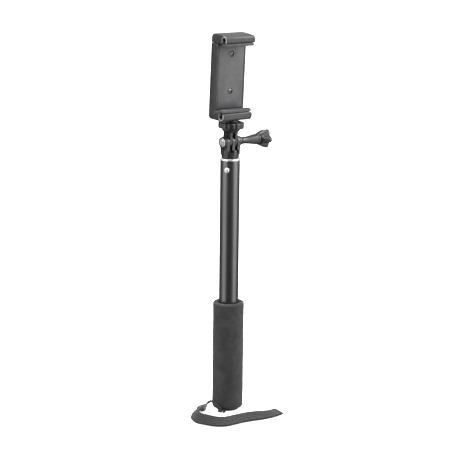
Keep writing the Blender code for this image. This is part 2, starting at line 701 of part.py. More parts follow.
def lug_point(out, height):
    return (out * math.cos(LUG_ANGLE), out * math.sin(LUG_ANGLE), height)


def make_string():
    """One cord: from the ferrule to the lug, under its bar and back to the ferrule."""
    turn = []
    for i in range(7):
        angle = math.radians(150 + 240 * i / 6)
        turn.append(lug_point(LUG_BAR_AT + 1.42 * math.cos(angle), 2.05 + 1.4 * math.sin(angle)))
    route = [*STRING_INNER, *turn, *STRING_OUTER]
    string = wire("strap_string", smooth_route(route, 1.6), STRING_R, 2)
    place(string, look="string")


def make_ferrule():
    start, end = Vector(FERRULE_SMALL), Vector(FERRULE_LARGE)
    length = (end - start).length
    ferrule = turned("strap_ferrule", [
        (0, 0), (2.0, 0), (2.4, -0.5), (4.3, -length * 0.6), (4.5, -length * 0.85), (4.1, -length), (0, -length),
    ], steps=24)
    place(ferrule, location=FERRULE_SMALL, look="ferrule_plastic")
    ferrule.rotation_euler = (start - end).to_track_quat("Z", "Y").to_euler()
    ferrule.scale = (1.0, 0.62, 1.0)


def make_webbing():
    """Both layers of the loop as one band. Each route point has its bank angle, in degrees."""
    section = bpy.data.curves.new("web_section", "CURVE")
    section.dimensions = "2D"
    corner = section.splines.new("POLY")
    corner.points.add(3)
    half, thick = WEB_WIDTH / 2 * MM, WEB_THICK / 2 * MM
    for point, (x, y) in zip(corner.points, ((-half, -thick), (half, -thick), (half, thick), (-half, thick))):
        point.co = (x, y, 0, 1)
    corner.use_cyclic_u = True
    section_object = add_mesh("web_section", section, CUTTERS)
    section_object.hide_render = True
    curve = bpy.data.curves.new("strap_webbing", "CURVE")
    curve.dimensions = "3D"
    curve.twist_mode = "Z_UP"
    curve.bevel_mode = "OBJECT"
    curve.bevel_object = section_object
    curve.use_fill_caps = True
    route = smooth_route([p[:3] for p in WEB_ROUTE], 4.0)
    spline = curve.splines.new("POLY")
    spline.points.add(len(route) - 1)
    for i, point in enumerate(spline.points):
        point.co = (*(route[i] * MM), 1)
        at = i / (len(route) - 1) * (len(WEB_ROUTE) - 1)
        low = min(int(at), len(WEB_ROUTE) - 2)
        bank = WEB_ROUTE[low][3] + (WEB_ROUTE[low + 1][3] - WEB_ROUTE[low][3]) * (at - low)
        point.tilt = math.radians(bank)
    path = add_mesh("strap_webbing_path", curve)
    band = add_mesh("strap_webbing", solid_mesh(path, "strap_webbing"))
    place(band, look="webbing")


# ---------------------------------------------------------------- assembly

def smooth_round_parts():
    for obj in PARTS.objects:
        if obj.type == "MESH":
            obj.data.shade_smooth()
            obj.data.set_sharp_from_angle(angle=math.radians(35))


def main():
    middle_slide = empty("middle_slide")
    inner_slide = empty("inner_slide", parent=middle_slide)
    knob_axis = empty("knob_axis", (0, 0, HINGE_HEIGHT), (0, math.pi / 2, 0), inner_slide)
    tilt_axis = empty("tilt_axis", (0, 0, HINGE_HEIGHT), (LEAN, 0, 0), inner_slide)
    swivel_axis = empty("swivel_axis", parent=tilt_axis)
    jaw_slide = empty("jaw_slide", parent=swivel_axis)

    make_outer_stage()
    make_end_cap()
    make_inner_stages(middle_slide, inner_slide)
    make_head_base(inner_slide)
    make_thumb_screw(knob_axis)
    make_tilt_head(tilt_axis)
    make_lock_wheel(tilt_axis)
    make_clamp_body(swivel_axis)
    make_face_plate(swivel_axis)
    make_pad("lower_pad", swivel_axis, LOWER_LIP_TOP, 1)
    make_upper_jaw(jaw_slide)
    make_pad("upper_pad", jaw_slide, LIP_BOTTOM, -1)
    make_jaw_spring("left_jaw_spring", swivel_axis, -1)
    make_jaw_spring("right_jaw_spring", swivel_axis, 1)
    make_string()
    make_ferrule()
    make_webbing()
    smooth_round_parts()


clear_scene()
PARTS = new_collection("selfie_stick")
CUTTERS = new_collection("cutters")
main()
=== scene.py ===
import json
import math

import bmesh
import bpy
from mathutils import Matrix, Vector, noise
from mathutils.geometry import interpolate_bezier


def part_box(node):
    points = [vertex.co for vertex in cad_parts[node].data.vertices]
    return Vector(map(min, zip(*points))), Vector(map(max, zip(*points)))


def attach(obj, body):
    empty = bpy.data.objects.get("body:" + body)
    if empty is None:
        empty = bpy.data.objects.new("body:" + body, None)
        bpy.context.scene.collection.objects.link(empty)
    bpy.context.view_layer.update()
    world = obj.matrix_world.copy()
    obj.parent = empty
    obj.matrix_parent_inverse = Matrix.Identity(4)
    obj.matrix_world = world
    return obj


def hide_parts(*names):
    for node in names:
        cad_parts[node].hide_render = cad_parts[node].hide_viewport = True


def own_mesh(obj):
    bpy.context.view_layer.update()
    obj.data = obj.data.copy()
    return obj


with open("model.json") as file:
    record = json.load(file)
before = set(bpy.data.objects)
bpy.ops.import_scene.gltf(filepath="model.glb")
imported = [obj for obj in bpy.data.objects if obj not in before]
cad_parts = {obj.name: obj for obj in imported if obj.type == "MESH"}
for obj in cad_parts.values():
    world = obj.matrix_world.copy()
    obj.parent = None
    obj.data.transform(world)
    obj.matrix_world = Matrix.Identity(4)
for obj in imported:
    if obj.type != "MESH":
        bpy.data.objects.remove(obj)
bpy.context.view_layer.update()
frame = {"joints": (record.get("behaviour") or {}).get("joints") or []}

bl_info = {
    "name": "Telescopic phone stick",
    "version": (1, 0, 0),
    "blender": (4, 5, 0),
    "location": "3D View > Sidebar > Phone Stick",
    "description": "Builds the fine surface of a telescopic stick with a phone clamp, round its packed frame",
    "category": "Add Mesh",
}

# Lengths below are millimetres. A mesh is turned to metres as it is made.
MM = 0.001
JOINTS = {joint["name"]: joint for joint in frame["joints"]}
HINGE = Vector(JOINTS["head_tilt"]["pos_m"])
CLAMP_UP = Vector(JOINTS["clamp_swivel"]["axis"]).normalized()
LEAN = math.atan2(-CLAMP_UP.y, CLAMP_UP.z)
AT_HINGE = Matrix.Translation(HINGE)
AT_HEAD = AT_HINGE @ Matrix.Rotation(LEAN, 4, "X")        # the clamp's own frame: u across, v back, w up
AT_KNOB = AT_HINGE @ Matrix.Rotation(math.pi / 2, 4, "Y")  # local z runs out along the bolt
WORLD = Matrix.Identity(4)


def high(node):
    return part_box(node)[1] / MM


def low(node):
    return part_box(node)[0] / MM


POLE_R = high("outer_tube").y
POLE_BOTTOM, POLE_TOP = low("outer_tube").z, high("outer_tube").z
MIDDLE_R = high("middle_tube").y
INNER_R = high("inner_tube").y
GRIP_R = high("foam_grip").y
GRIP_BOTTOM, GRIP_TOP = low("foam_grip").z, high("foam_grip").z
RING_LOW, RING_HIGH, RING_R = low("collar_ring").z, high("collar_ring").z, high("collar_ring").y
CLAMP_HALF = high("clamp_body").x
RIVET_ANGLE = math.radians(212.7)
RIVET_HEIGHT = 230.3
LUG_ANGLE = math.radians(212.3)
BOLT_R = 2.45
BOLT_HOLE_R = 2.62
STAR_TURN = math.radians(-12.0)

# Heights and depths in the clamp's own frame, measured from the hinge axis.
CLAMP_BACK, CLAMP_FACE = 13.4, 3.4
CLAMP_BOTTOM, LOWER_LIP_TOP = 20.9, 28.4
BODY_TOP, HOOD_BOTTOM = 90.3, 90.6
LIP_BOTTOM, HOOD_TOP, LIP_FRONT = 91.6, 99.1, -8.7
PAD_FRONT, RIB_FRONT, RIB_BACK, PAD_BACK = -8.3, -6.6, -3.8, -2.7
KEY_AT = -5.6                # middle of the hollow in each lip end
SCREW_HEIGHTS = (46.4, 80.4)
STUD_R, STUD_TOP = 3.1, 24.8
GROOVE_LOW, GROOVE_HIGH = 26.0, 94.0   # floor of the lower lip's groove and roof of the upper lip's
SLIDER_FRONT = 5.8            # just behind the face plate
SPRING_AT, SPRING_DEPTH = 11.7, 8.3
WHEEL_R = 11.9

# The wrist cord from the ferrule round the lug bar and back, and the webbing's middle line with its bank.
STRING_INNER = (
    (-17.8, 8.3, 4.7), (-16.5, 7.2, 6.1), (-16.1, 5.2, 7.4), (-16.4, 2.2, 7.9), (-16.5, -1.7, 7.4),
    (-15.5, -5.1, 6.2), (-14.1, -7.5, 4.8),
)
STRING_OUTER = (
    (-16.1, -8.6, 5.3), (-17.3, -6.3, 7.5), (-18.0, -2.7, 9.2), (-17.9, 1.2, 9.8), (-17.5, 4.0, 9.2),
    (-17.9, 6.1, 7.6), (-18.9, 7.7, 5.6),
)
LUG_BAR_AT = 16.6
FERRULE_SMALL, FERRULE_LARGE = Vector((-20.0, 7.5, 4.7)), Vector((-29.9, 2.8, 3.5))
WEB_ROUTE = (
    (-30.8, 2.3, 4.65, 35), (-36.7, -1.8, 4.95, 40), (-42.5, -6.8, 5.15, 45), (-47.3, -13.1, 5.25, 46),
    (-48.8, -20.5, 5.15, 44), (-45.9, -27.3, 4.95, 40), (-41.0, -35.2, 4.55, 33), (-34.1, -39.9, 4.25, 30),
    (-25.2, -40.7, 4.15, 30), (-15.3, -41.1, 4.15, 31), (-4.1, -42.5, 4.05, 29), (6.4, -44.8, 3.65, 22),
    (16.7, -45.5, 3.25, 16), (27.5, -43.8, 2.9, 12),
)


# ---------------------------------------------------------------- sizes and colours a user would change

class PoleSettings(bpy.types.PropertyGroup):
    tube_colour: bpy.props.FloatVectorProperty(
        name="Tube", description="Dye of the anodised tubes", subtype="COLOR", size=3,
        default=(0.1, 0.1, 0.103))
    foam_colour: bpy.props.FloatVectorProperty(
        name="Foam", description="Colour of the grip", subtype="COLOR", size=3, default=(0.045, 0.045, 0.046))
    foam_unevenness: bpy.props.FloatProperty(
        name="Foam unevenness", description="How far the soft surface wanders", unit="LENGTH",
        default=0.00018)


class HeadSettings(bpy.types.PropertyGroup):
    edge: bpy.props.FloatProperty(
        name="Edge", description="Radius on the moulded edges", unit="LENGTH", default=0.00035)
    knob_teeth: bpy.props.IntProperty(
        name="Knob teeth", description="Fine teeth round the whole knob", default=100, min=20)
    wheel_flutes: bpy.props.IntProperty(
        name="Wheel flutes", description="Finger flutes round the lock wheel", default=10, min=3)


class ClampSettings(bpy.types.PropertyGroup):
    rib_pitch: bpy.props.FloatProperty(
        name="Rib pitch", description="From rib to rib on the rubber pads", unit="LENGTH", default=0.002)
    rib_height: bpy.props.FloatProperty(
        name="Rib height", description="Height of a rib on the rubber pads", unit="LENGTH", default=0.0007)


class StrapSettings(bpy.types.PropertyGroup):
    width: bpy.props.FloatProperty(
        name="Width", description="Width of the webbing", unit="LENGTH", default=0.0105)
    layer: bpy.props.FloatProperty(
        name="Layer", description="Thickness of one layer", unit="LENGTH", default=0.0011)
    ridges: bpy.props.IntProperty(
        name="Ridges", description="Lengthwise ridges across the webbing", default=6, min=2)


# ---------------------------------------------------------------- meshes

def new_object(name, shape):
    """An object in the scene from a bmesh, which is freed."""
    mesh = bpy.data.meshes.new(name)
    shape.to_mesh(mesh)
    shape.free()
    obj = bpy.data.objects.new(name, mesh)
    bpy.context.scene.collection.objects.link(obj)
    return obj


def settle(obj):
    """Applies the object's modifiers and its place to its mesh."""
    bpy.context.view_layer.update()
    seen = obj.evaluated_get(bpy.context.evaluated_depsgraph_get())
    mesh = bpy.data.meshes.new_from_object(seen)
    mesh.transform(obj.matrix_world)
    if obj.type == "CURVE":
        made = bpy.data.objects.new(obj.name, mesh)
        bpy.context.scene.collection.objects.link(made)
        bpy.data.objects.remove(obj)
        return made
    obj.modifiers.clear()
    obj.data = mesh
    obj.matrix_world = WORLD
    return obj


def lathe(name, profile, steps=96, wobble=None):
    """A turned piece: (radius, height) points down its outer side. It closes on the axis or on itself."""
    shape = bmesh.new()
    rings = []
    for radius, height in profile:
        if radius == 0:
            rings.append([shape.verts.new((0, 0, height * MM))])
            continue
        ring = []
        for i in range(steps):
            angle = 2 * math.pi * i / steps
            r = radius + (wobble(angle, height) if wobble else 0)
            ring.append(shape.verts.new((r * math.cos(angle) * MM, r * math.sin(angle) * MM, height * MM)))
        rings.append(ring)
    pairs = list(zip(rings, rings[1:]))
    if profile[0][0] and profile[-1][0]:
        pairs.append((rings[-1], rings[0]))
    for upper, lower in pairs:
        for i in range(steps):
            j = (i + 1) % steps
            if len(upper) == 1:
                shape.faces.new((upper[0], lower[i], lower[j]))
            elif len(lower) == 1:
                shape.faces.new((upper[j], upper[i], lower[0]))
            else:
                shape.faces.new((upper[i], lower[i], lower[j], upper[j]))
    return new_object(name, shape)


def arc(centre, radius, start, end, steps):
    angles = [math.radians(start + (end - start) * i / steps) for i in range(steps + 1)]
    return [(centre[0] + radius * math.cos(a), centre[1] + radius * math.sin(a)) for a in angles]


def rod(name, radius, bottom, top, steps=64, chamfer=0.2):
    return lathe(name, [
        (0, top), (radius - chamfer, top), (radius, top - chamfer),
        (radius, bottom + chamfer), (radius - chamfer, bottom), (0, bottom),
    ], steps)


def sleeve(name, outer, inner, bottom, top, edge=0.25, steps=96):
    """A tube with rounded rims."""
    profile = [
        *arc((inner + edge, top - edge), edge, 180, 90, 3), *arc((outer - edge, top - edge), edge, 90, 0, 3),
        *arc((outer - edge, bottom + edge), edge, 0, -90, 3),
        *arc((inner + edge, bottom + edge), edge, 270, 180, 3),
    ]
    return lathe(name, profile, steps)


def block(name, lowest, highest):
    shape = bmesh.new()
    bmesh.ops.create_cube(shape, size=1.0)
    lowest, highest = Vector(lowest), Vector(highest)
    bmesh.ops.scale(shape, vec=(highest - lowest) * MM, verts=shape.verts)
    bmesh.ops.translate(shape, vec=(highest + lowest) / 2 * MM, verts=shape.verts)
    return new_object(name, shape)


def slab(name, outline, start, end, axis="Z"):
    """An outline given its thickness. Axis Z takes (x, y) points, X takes (y, z) and Y takes (x, z)."""
    shape = bmesh.new()
    turn = {"Z": lambda a, b, c: (a, b, c), "X": lambda a, b, c: (c, a, b), "Y": lambda a, b,
            c: (a, c, b)}[axis]
    face = shape.faces.new([shape.verts.new(Vector(turn(a, b, start)) * MM) for a, b in outline])
    grown = bmesh.ops.extrude_face_region(shape, geom=[face])
    moved = [v for v in grown["geom"] if isinstance(v, bmesh.types.BMVert)]
    bmesh.ops.translate(shape, verts=moved, vec=Vector(turn(0, 0, end - start)) * MM)
    bmesh.ops.recalc_face_normals(shape, faces=shape.faces)
    return new_object(name, shape)


def rounded(corners, steps=8):
    """An outline from (x, y, radius) corners, each with its radius drawn as an arc."""
    points = []
    for i, (x, y, radius) in enumerate(corners):
        here = Vector((x, y))
        if radius == 0:
            points.append((x, y))
            continue
        before = (Vector(corners[i - 1][:2]) - here).normalized()
        after = (Vector(corners[(i + 1) % len(corners)][:2]) - here).normalized()
        half = before.angle(after) / 2
        centre = here + (before + after).normalized() * radius / math.sin(half)
        first = here + before * radius / math.tan(half) - centre
        last = here + after * radius / math.tan(half) - centre
        start = math.atan2(first.y, first.x)
        turn = (math.atan2(last.y, last.x) - start + math.pi) % (2 * math.pi) - math.pi
        for k in range(steps + 1):
            angle = start + turn * k / steps
            points.append((centre.x + radius * math.cos(angle), centre.y + radius * math.sin(angle)))
    return points


def combine(target, operation, tools):
    """Joins the tools to the target or cuts them from it, and removes them."""
    for tool in tools:
        step = target.modifiers.new(operation, "BOOLEAN")
        step.operation = operation
        step.object = tool
        step.solver = "EXACT"
        settle(target)
        bpy.data.objects.remove(tool)
    return target


def cut(target, *tools):
    return combine(target, "DIFFERENCE", tools)


def join(target, *tools):
    return combine(target, "UNION", tools)


def soften(obj, width, angle=35, segments=2):
    """Rounds the edges that turn by more than the angle, in degrees. The width is in millimetres."""
    edge = obj.modifiers.new("edges", "BEVEL")
    edge.width = width * MM
    edge.segments = segments
    edge.limit_method = "ANGLE"
    edge.angle_limit = math.radians(angle)
    edge.use_clamp_overlap = True
    edge.miter_outer = "MITER_ARC"
    return settle(obj)


def laid(obj, matrix):
    """Moves the mesh by the matrix."""
    obj.data.transform(matrix)
    return obj


def along_x(obj, height=0.0, at=0.0):
    """Lays a piece that was turned about Z along +X, through (y, z)."""
    return laid(obj, Matrix.Translation(Vector((0, at, height)) * MM) @ Matrix.Rotation(math.pi / 2, 4, "Y"))


def along_y(obj, x, z):
    """Lays a piece that was turned about Z along -Y, through (x, z)."""
    return laid(obj, Matrix.Translation(Vector((x, 0, z)) * MM) @ Matrix.Rotation(math.pi / 2, 4, "X"))


def smooth_route(points, spacing):
    """Points about one spacing apart on a smooth curve through the given points."""
    nodes = [Vector(p) for p in points]
    ends = [2 * nodes[0] - nodes[1], *nodes, 2 * nodes[-1] - nodes[-2]]
    route = [nodes[0]]
    for i in range(1, len(ends) - 2):
        start, end = ends[i], ends[i + 1]
        reach = (end - start).length / 3
        lean_out = start + (end - ends[i - 1]).normalized() * reach
        lean_in = end - (ends[i + 2] - start).normalized() * reach
        count = max(2, round((end - start).length / spacing) + 1)
        route += interpolate_bezier(start, lean_out, lean_in, end, count)[1:]
    return route


def wire(name, route, radius, sides=4):
    """A round wire along the route, as a curve."""
    curve = bpy.data.curves.new(name, "CURVE")
    curve.dimensions = "3D"
    curve.bevel_depth = radius * MM
    curve.bevel_resolution = sides
    curve.use_fill_caps = True
    spline = curve.splines.new("POLY")
    spline.points.add(len(route) - 1)
    for point, place in zip(spline.points, route):
        point.co = (*(Vector(place) * MM), 1)
    spline.use_smooth = True
    obj = bpy.data.objects.new(name, curve)
    bpy.context.scene.collection.objects.link(obj)
    return obj


def finish_piece(obj, body, look, stands_for=(), sharp=35, place=WORLD):
    """Places the piece, shades it, gives it its material and hangs it on its body."""
    if obj.type == "MESH":
        obj.data.transform(place)
        obj.data.shade_smooth()
        obj.data.set_sharp_from_angle(angle=math.radians(sharp))
    obj.data.materials.clear()
    obj.data.materials.append(look)
    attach(obj, body)
    if stands_for:
        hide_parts(*stands_for)
    return obj


# ---------------------------------------------------------------- materials

def linear(code):
    """A six-digit sRGB hex colour as linear RGBA."""
    channels = [int(code[i:i + 2], 16) / 255 for i in (0, 2, 4)]
    return (*(c / 12.92 if c <= 0.04045 else ((c + 0.055) / 1.055) ** 2.4 for c in channels), 1.0)


def node(tree, kind, links=(), **settings):
    """Adds a shader node. Settings are its properties; links feed a socket a value or another output."""
    made = tree.nodes.new("ShaderNode" + kind)
    for name, value in settings.items():
        setattr(made, name, value)
    for socket, value in dict(links).items():
        if isinstance(value, bpy.types.NodeSocket):
            tree.links.new(value, made.inputs[socket])
        else:
            made.inputs[socket].default_value = value
    return made


def new_material(name, **sockets):
    """A material with its shader's sockets set. Returns the material, its tree and the shader."""
    made = bpy.data.materials.new(name)
    made.use_nodes = True
    tree = made.node_tree
    shader = tree.nodes["Principled BSDF"]
    for socket, value in sockets.items():
        shader.inputs[socket.replace("_", " ")].default_value = value
    return made, tree, shader


def object_place(tree):
    """The surface's own position in metres, which moves with the piece."""
    return node(tree, "TexCoord").outputs["Object"]


def grain(tree, place, size_mm, detail=2.0, stretch=(1, 1, 1), roughness=0.5):
    """Noise whose blotches are about size_mm across, longer where stretch is below 1."""
    scaled = node(tree, "Mapping", {"Vector": place, "Scale": stretch}).outputs["Vector"]
    return node(tree, "TexNoise", {
        "Vector": scaled, "Scale": 1000 / size_mm, "Detail": detail, "Roughness": roughness,
    }).outputs["Fac"]


def ramp(tree, fac, *stops):
    """A colour ramp through (position, colour) stops."""
    made = node(tree, "ValToRGB", {"Fac": fac})
    elements = made.color_ramp.elements
    while len(elements) < len(stops):
        elements.new(0.5)
    for element, (position, colour) in zip(elements, stops):
        element.position = position
        element.color = colour
    return made.outputs["Color"]


def span(tree, fac, low_value, high_value):
    """Maps 0 to 1 onto another range."""
    return node(tree, "MapRange", {"Value": fac, "To Min": low_value, "To Max": high_value}).outputs["Result"]


def bump(tree, shader, height, depth_mm, strength=1.0):
    """Raises the surface by up to depth_mm where height is 1."""
    made = node(tree, "Bump", {"Height": height, "Distance": depth_mm * MM, "Strength": strength})
    tree.links.new(made.outputs["Normal"], shader.inputs["Normal"])


def mottled(tree, shader, place, dark, light, size_mm, stretch=(1, 1, 1)):
    """Base colour that wanders between two near shades."""
    fac = grain(tree, place, size_mm, 3.0, stretch)
    tree.links.new(ramp(tree, fac, (0.3, dark), (0.7, light)), shader.inputs["Base Color"])


def anodised_tube(colour):
    """Drawn aluminium tube, dyed black in the anodising bath: a deep grey metal whose two lamps show as
    soft upright streaks. Draw lines are about 0.05 mm apart, drawn at 0.3 mm so that they show."""
    made, tree, shader = new_material("anodised_black_aluminium", Metallic=0.85, Roughness=0.3)
    place = object_place(tree)
    shade = (*colour, 1.0)
    lighter = (*(c * 1.12 for c in colour), 1.0)
    mottled(tree, shader, place, shade, lighter, 5.0, (1, 1, 0.12))
    lines = grain(tree, place, 0.3, 2.0, (1, 1, 0.01))
    tree.links.new(span(tree, lines, 0.25, 0.36), shader.inputs["Roughness"])
    bump(tree, shader, lines, 0.012, 0.5)
    return made


def grip_foam(colour):
    """Closed-cell nitrile foam, skived tube: dull, with pores about 0.3 mm across, drawn at 0.7 mm,
    and a soft fuzz that lightens the outline."""
    made, tree, shader = new_material("nitrile_foam", Roughness=0.95, Sheen_Weight=0.08, Sheen_Roughness=0.5)
    shader.inputs["Specular IOR Level"].default_value = 0.25
    place = object_place(tree)
    pores = grain(tree, place, 0.7, 4.0, roughness=0.7)
    drift = grain(tree, place, 9.0, 2.0)
    both = node(tree, "Math", {0: pores, 1: drift}, operation="MULTIPLY").outputs[0]
    dark = (*(c * 0.7 for c in colour), 1.0)
    light = (*(c * 1.35 for c in colour), 1.0)
    tree.links.new(ramp(tree, both, (0.12, dark), (0.42, light)), shader.inputs["Base Color"])
    bump(tree, shader, pores, 0.14, 0.8)
    return made


def moulded_plastic(name, dark, light, roughness, grain_mm=0.5, depth_mm=0.02, **sockets):
    """Injection-moulded plastic: even colour, spark-eroded grain about 0.1 mm across, drawn at grain_mm,
    and a slightly uneven gloss."""
    made, tree, shader = new_material(name, Roughness=roughness, IOR=1.5, **sockets)
    place = object_place(tree)
    mottled(tree, shader, place, linear(dark), linear(light), 6.0)
    fine = grain(tree, place, grain_mm, 3.0, roughness=0.6)
    tree.links.new(span(tree, fine, roughness - 0.06, roughness + 0.08), shader.inputs["Roughness"])
    bump(tree, shader, fine, depth_mm, 0.6)
    return made


def plated_metal(name, dark, light, roughness, mark_mm=0.6, stretch=(1, 1, 1)):
    """Turned and plated metal: bright, with faint marks from the tool."""
    made, tree, shader = new_material(name, Metallic=1.0, Roughness=roughness)
    place = object_place(tree)
    mottled(tree, shader, place, linear(dark), linear(light), 1.5, stretch)
    marks = grain(tree, place, mark_mm, 2.0, stretch)
    tree.links.new(span(tree, marks, roughness * 0.75, roughness * 1.35), shader.inputs["Roughness"])
    bump(tree, shader, marks, 0.01, 0.5)
    return made


def pad_rubber():
    """Moulded thermoplastic rubber: dull, with a bloom that mottles its colour at random."""
    made, tree, shader = new_material("moulded_rubber", Roughness=0.62, IOR=1.5)
    place = object_place(tree)
    mottled(tree, shader, place, linear("3a3b3d"), linear("57585a"), 1.4)
    bump(tree, shader, grain(tree, place, 0.4, 3.0), 0.03, 0.6)
    return made


def woven_webbing(ridges):
    """Flat polyester webbing: ribs of warp with the weft's slant between them. Threads are about 0.3 mm,
    drawn at 0.7 mm. The ribbon's map runs 0 to 1 across and in widths along."""
    made, tree, shader = new_material("polyester_webbing", Roughness=0.85, Sheen_Weight=0.25,
                                      Sheen_Roughness=0.4)
    flat = node(tree, "UVMap", uv_map="ribbon").outputs["UV"]
    parts = node(tree, "SeparateXYZ", {"Vector": flat}).outputs
    across = node(tree, "Math", {0: parts["X"], 1: 2 * math.pi * ridges}, operation="MULTIPLY").outputs[0]
    rib = node(tree, "Math", {0: across}, operation="COSINE").outputs[0]
    rib = span(tree, node(tree, "Math", {0: rib, 1: -1.0}, operation="MULTIPLY").outputs[0], 0.5, 1.0)
    slant = node(tree, "Math", {0: parts["Y"], 1: 2 * math.pi * 15}, operation="MULTIPLY").outputs[0]
    lean = node(tree, "Math", {0: across, 1: 1.0, 2: slant}, operation="MULTIPLY_ADD").outputs[0]
    thread = span(tree, node(tree, "Math", {0: lean}, operation="SINE").outputs[0], 0.5, 1.0)
    fuzz = grain(tree, object_place(tree), 0.5, 3.0, roughness=0.7)
    # Colour from the weave: dark in the grooves between ribs and threads and pale on their crowns, which is
    # painted shade and painted highlight laid over the bump.
    weave = node(tree, "Math", {0: rib, 1: thread}, operation="MULTIPLY").outputs[0]
    light = node(tree, "Math", {0: weave, 1: fuzz}, operation="MULTIPLY").outputs[0]
    colour = ramp(tree, light, (0.06, linear("0e0e0e")), (0.3, linear("2c2c2c")), (0.62, linear("646464")))
    tree.links.new(colour, shader.inputs["Base Color"])
    bump(tree, shader, weave, 0.26, 0.9)
    return made


def braided_cord():
    """Braided polyester cord: strands cross at about 0.5 mm, drawn at 0.8 mm."""
    made, tree, shader = new_material("braided_cord", Roughness=0.8, Sheen_Weight=0.2)
    place = object_place(tree)
    strands = node(tree, "TexVoronoi", {"Vector": place, "Scale": 1000 / 0.8}).outputs["Distance"]
    # Colour from the strand cells: pale on each crown and dark where the braid dips between them, which is
    # painted shade in its hollows.
    tree.links.new(ramp(tree, strands, (0.1, linear("3c3d3f")), (0.6, linear("131314"))),
                   shader.inputs["Base Color"])
    bump(tree, shader, strands, -0.12, 0.8)
    return made


# ---------------------------------------------------------------- operators

class Build:
    """What every build operator shares."""
    bl_options = {"REGISTER", "UNDO"}

    @classmethod
    def poll(cls, context):
        return context.scene is not None


class STICK_OT_camera(Build, bpy.types.Operator):
    """Set the camera a long lens away, above and to the left of the front"""
    bl_idname = "stick.camera"
    bl_label = "Camera"

    def execute(self, context):
        around, down, roll = math.radians(38), math.radians(12.3), math.radians(0.66)
        distance, height = 1.4, 0.478
        ahead = Vector((math.sin(around) * math.cos(down), math.cos(around) * math.cos(down),
                        -math.sin(down)))
        right = Vector((math.cos(around), -math.sin(around), 0))
        up = right.cross(ahead)
        across = right * math.cos(roll) + up * math.sin(roll)
        upward = up * math.cos(roll) - right * math.sin(roll)
        lens = bpy.data.cameras.new("camera")
        lens.sensor_width = 36
        lens.lens = 120.9
        lens.shift_x = 0.0015
        lens.clip_end = 20
        camera = bpy.data.objects.new("camera", lens)
        context.scene.collection.objects.link(camera)
        axes = Matrix((across, upward, -ahead)).transposed().to_4x4()
        place = Vector((-math.sin(around) * distance, -math.cos(around) * distance, height))
        camera.matrix_world = Matrix.Translation(place) @ axes
        context.scene.camera = camera
        return {"FINISHED"}


def lug_point(out, height):
    return (out * math.cos(LUG_ANGLE), out * math.sin(LUG_ANGLE), height)


def string_route():
    turn = []
    for i in range(7):
        angle = math.radians(150 + 240 * i / 6)
        turn.append(lug_point(LUG_BAR_AT + 1.42 * math.cos(angle), 2.05 + 1.4 * math.sin(angle)))
    return smooth_route([*STRING_INNER, *turn, *STRING_OUTER], 0.5)


def ferrule_mesh():
    """A pinched cone with a rolled mouth and a crimp line at each end."""
    length = (FERRULE_LARGE - FERRULE_SMALL).length
    body = lathe("strap_ferrule_shell", [
        (0, 0.2), (1.5, 0.2), (1.9, 0.05), (2.15, -0.35), (2.15, -0.9), (2.0, -1.1), (2.2, -1.4),
        (2.7, -length * 0.25), (3.4, -length * 0.42), (4.1, -length * 0.6), (4.45, -length * 0.76),
        (4.5, -length * 0.88), (4.35, -length * 0.95), (4.0, -length * 0.99), (3.5, -length),
        (3.0, -length + 0.5), (0, -length + 0.7),
    ], 48)
    flat = Matrix.Diagonal((1.0, 0.62, 1.0, 1.0))
    lie = (FERRULE_SMALL - FERRULE_LARGE).to_track_quat("Z", "Y").to_matrix().to_4x4()
    return laid(body, Matrix.Translation(FERRULE_SMALL * MM) @ lie @ flat)


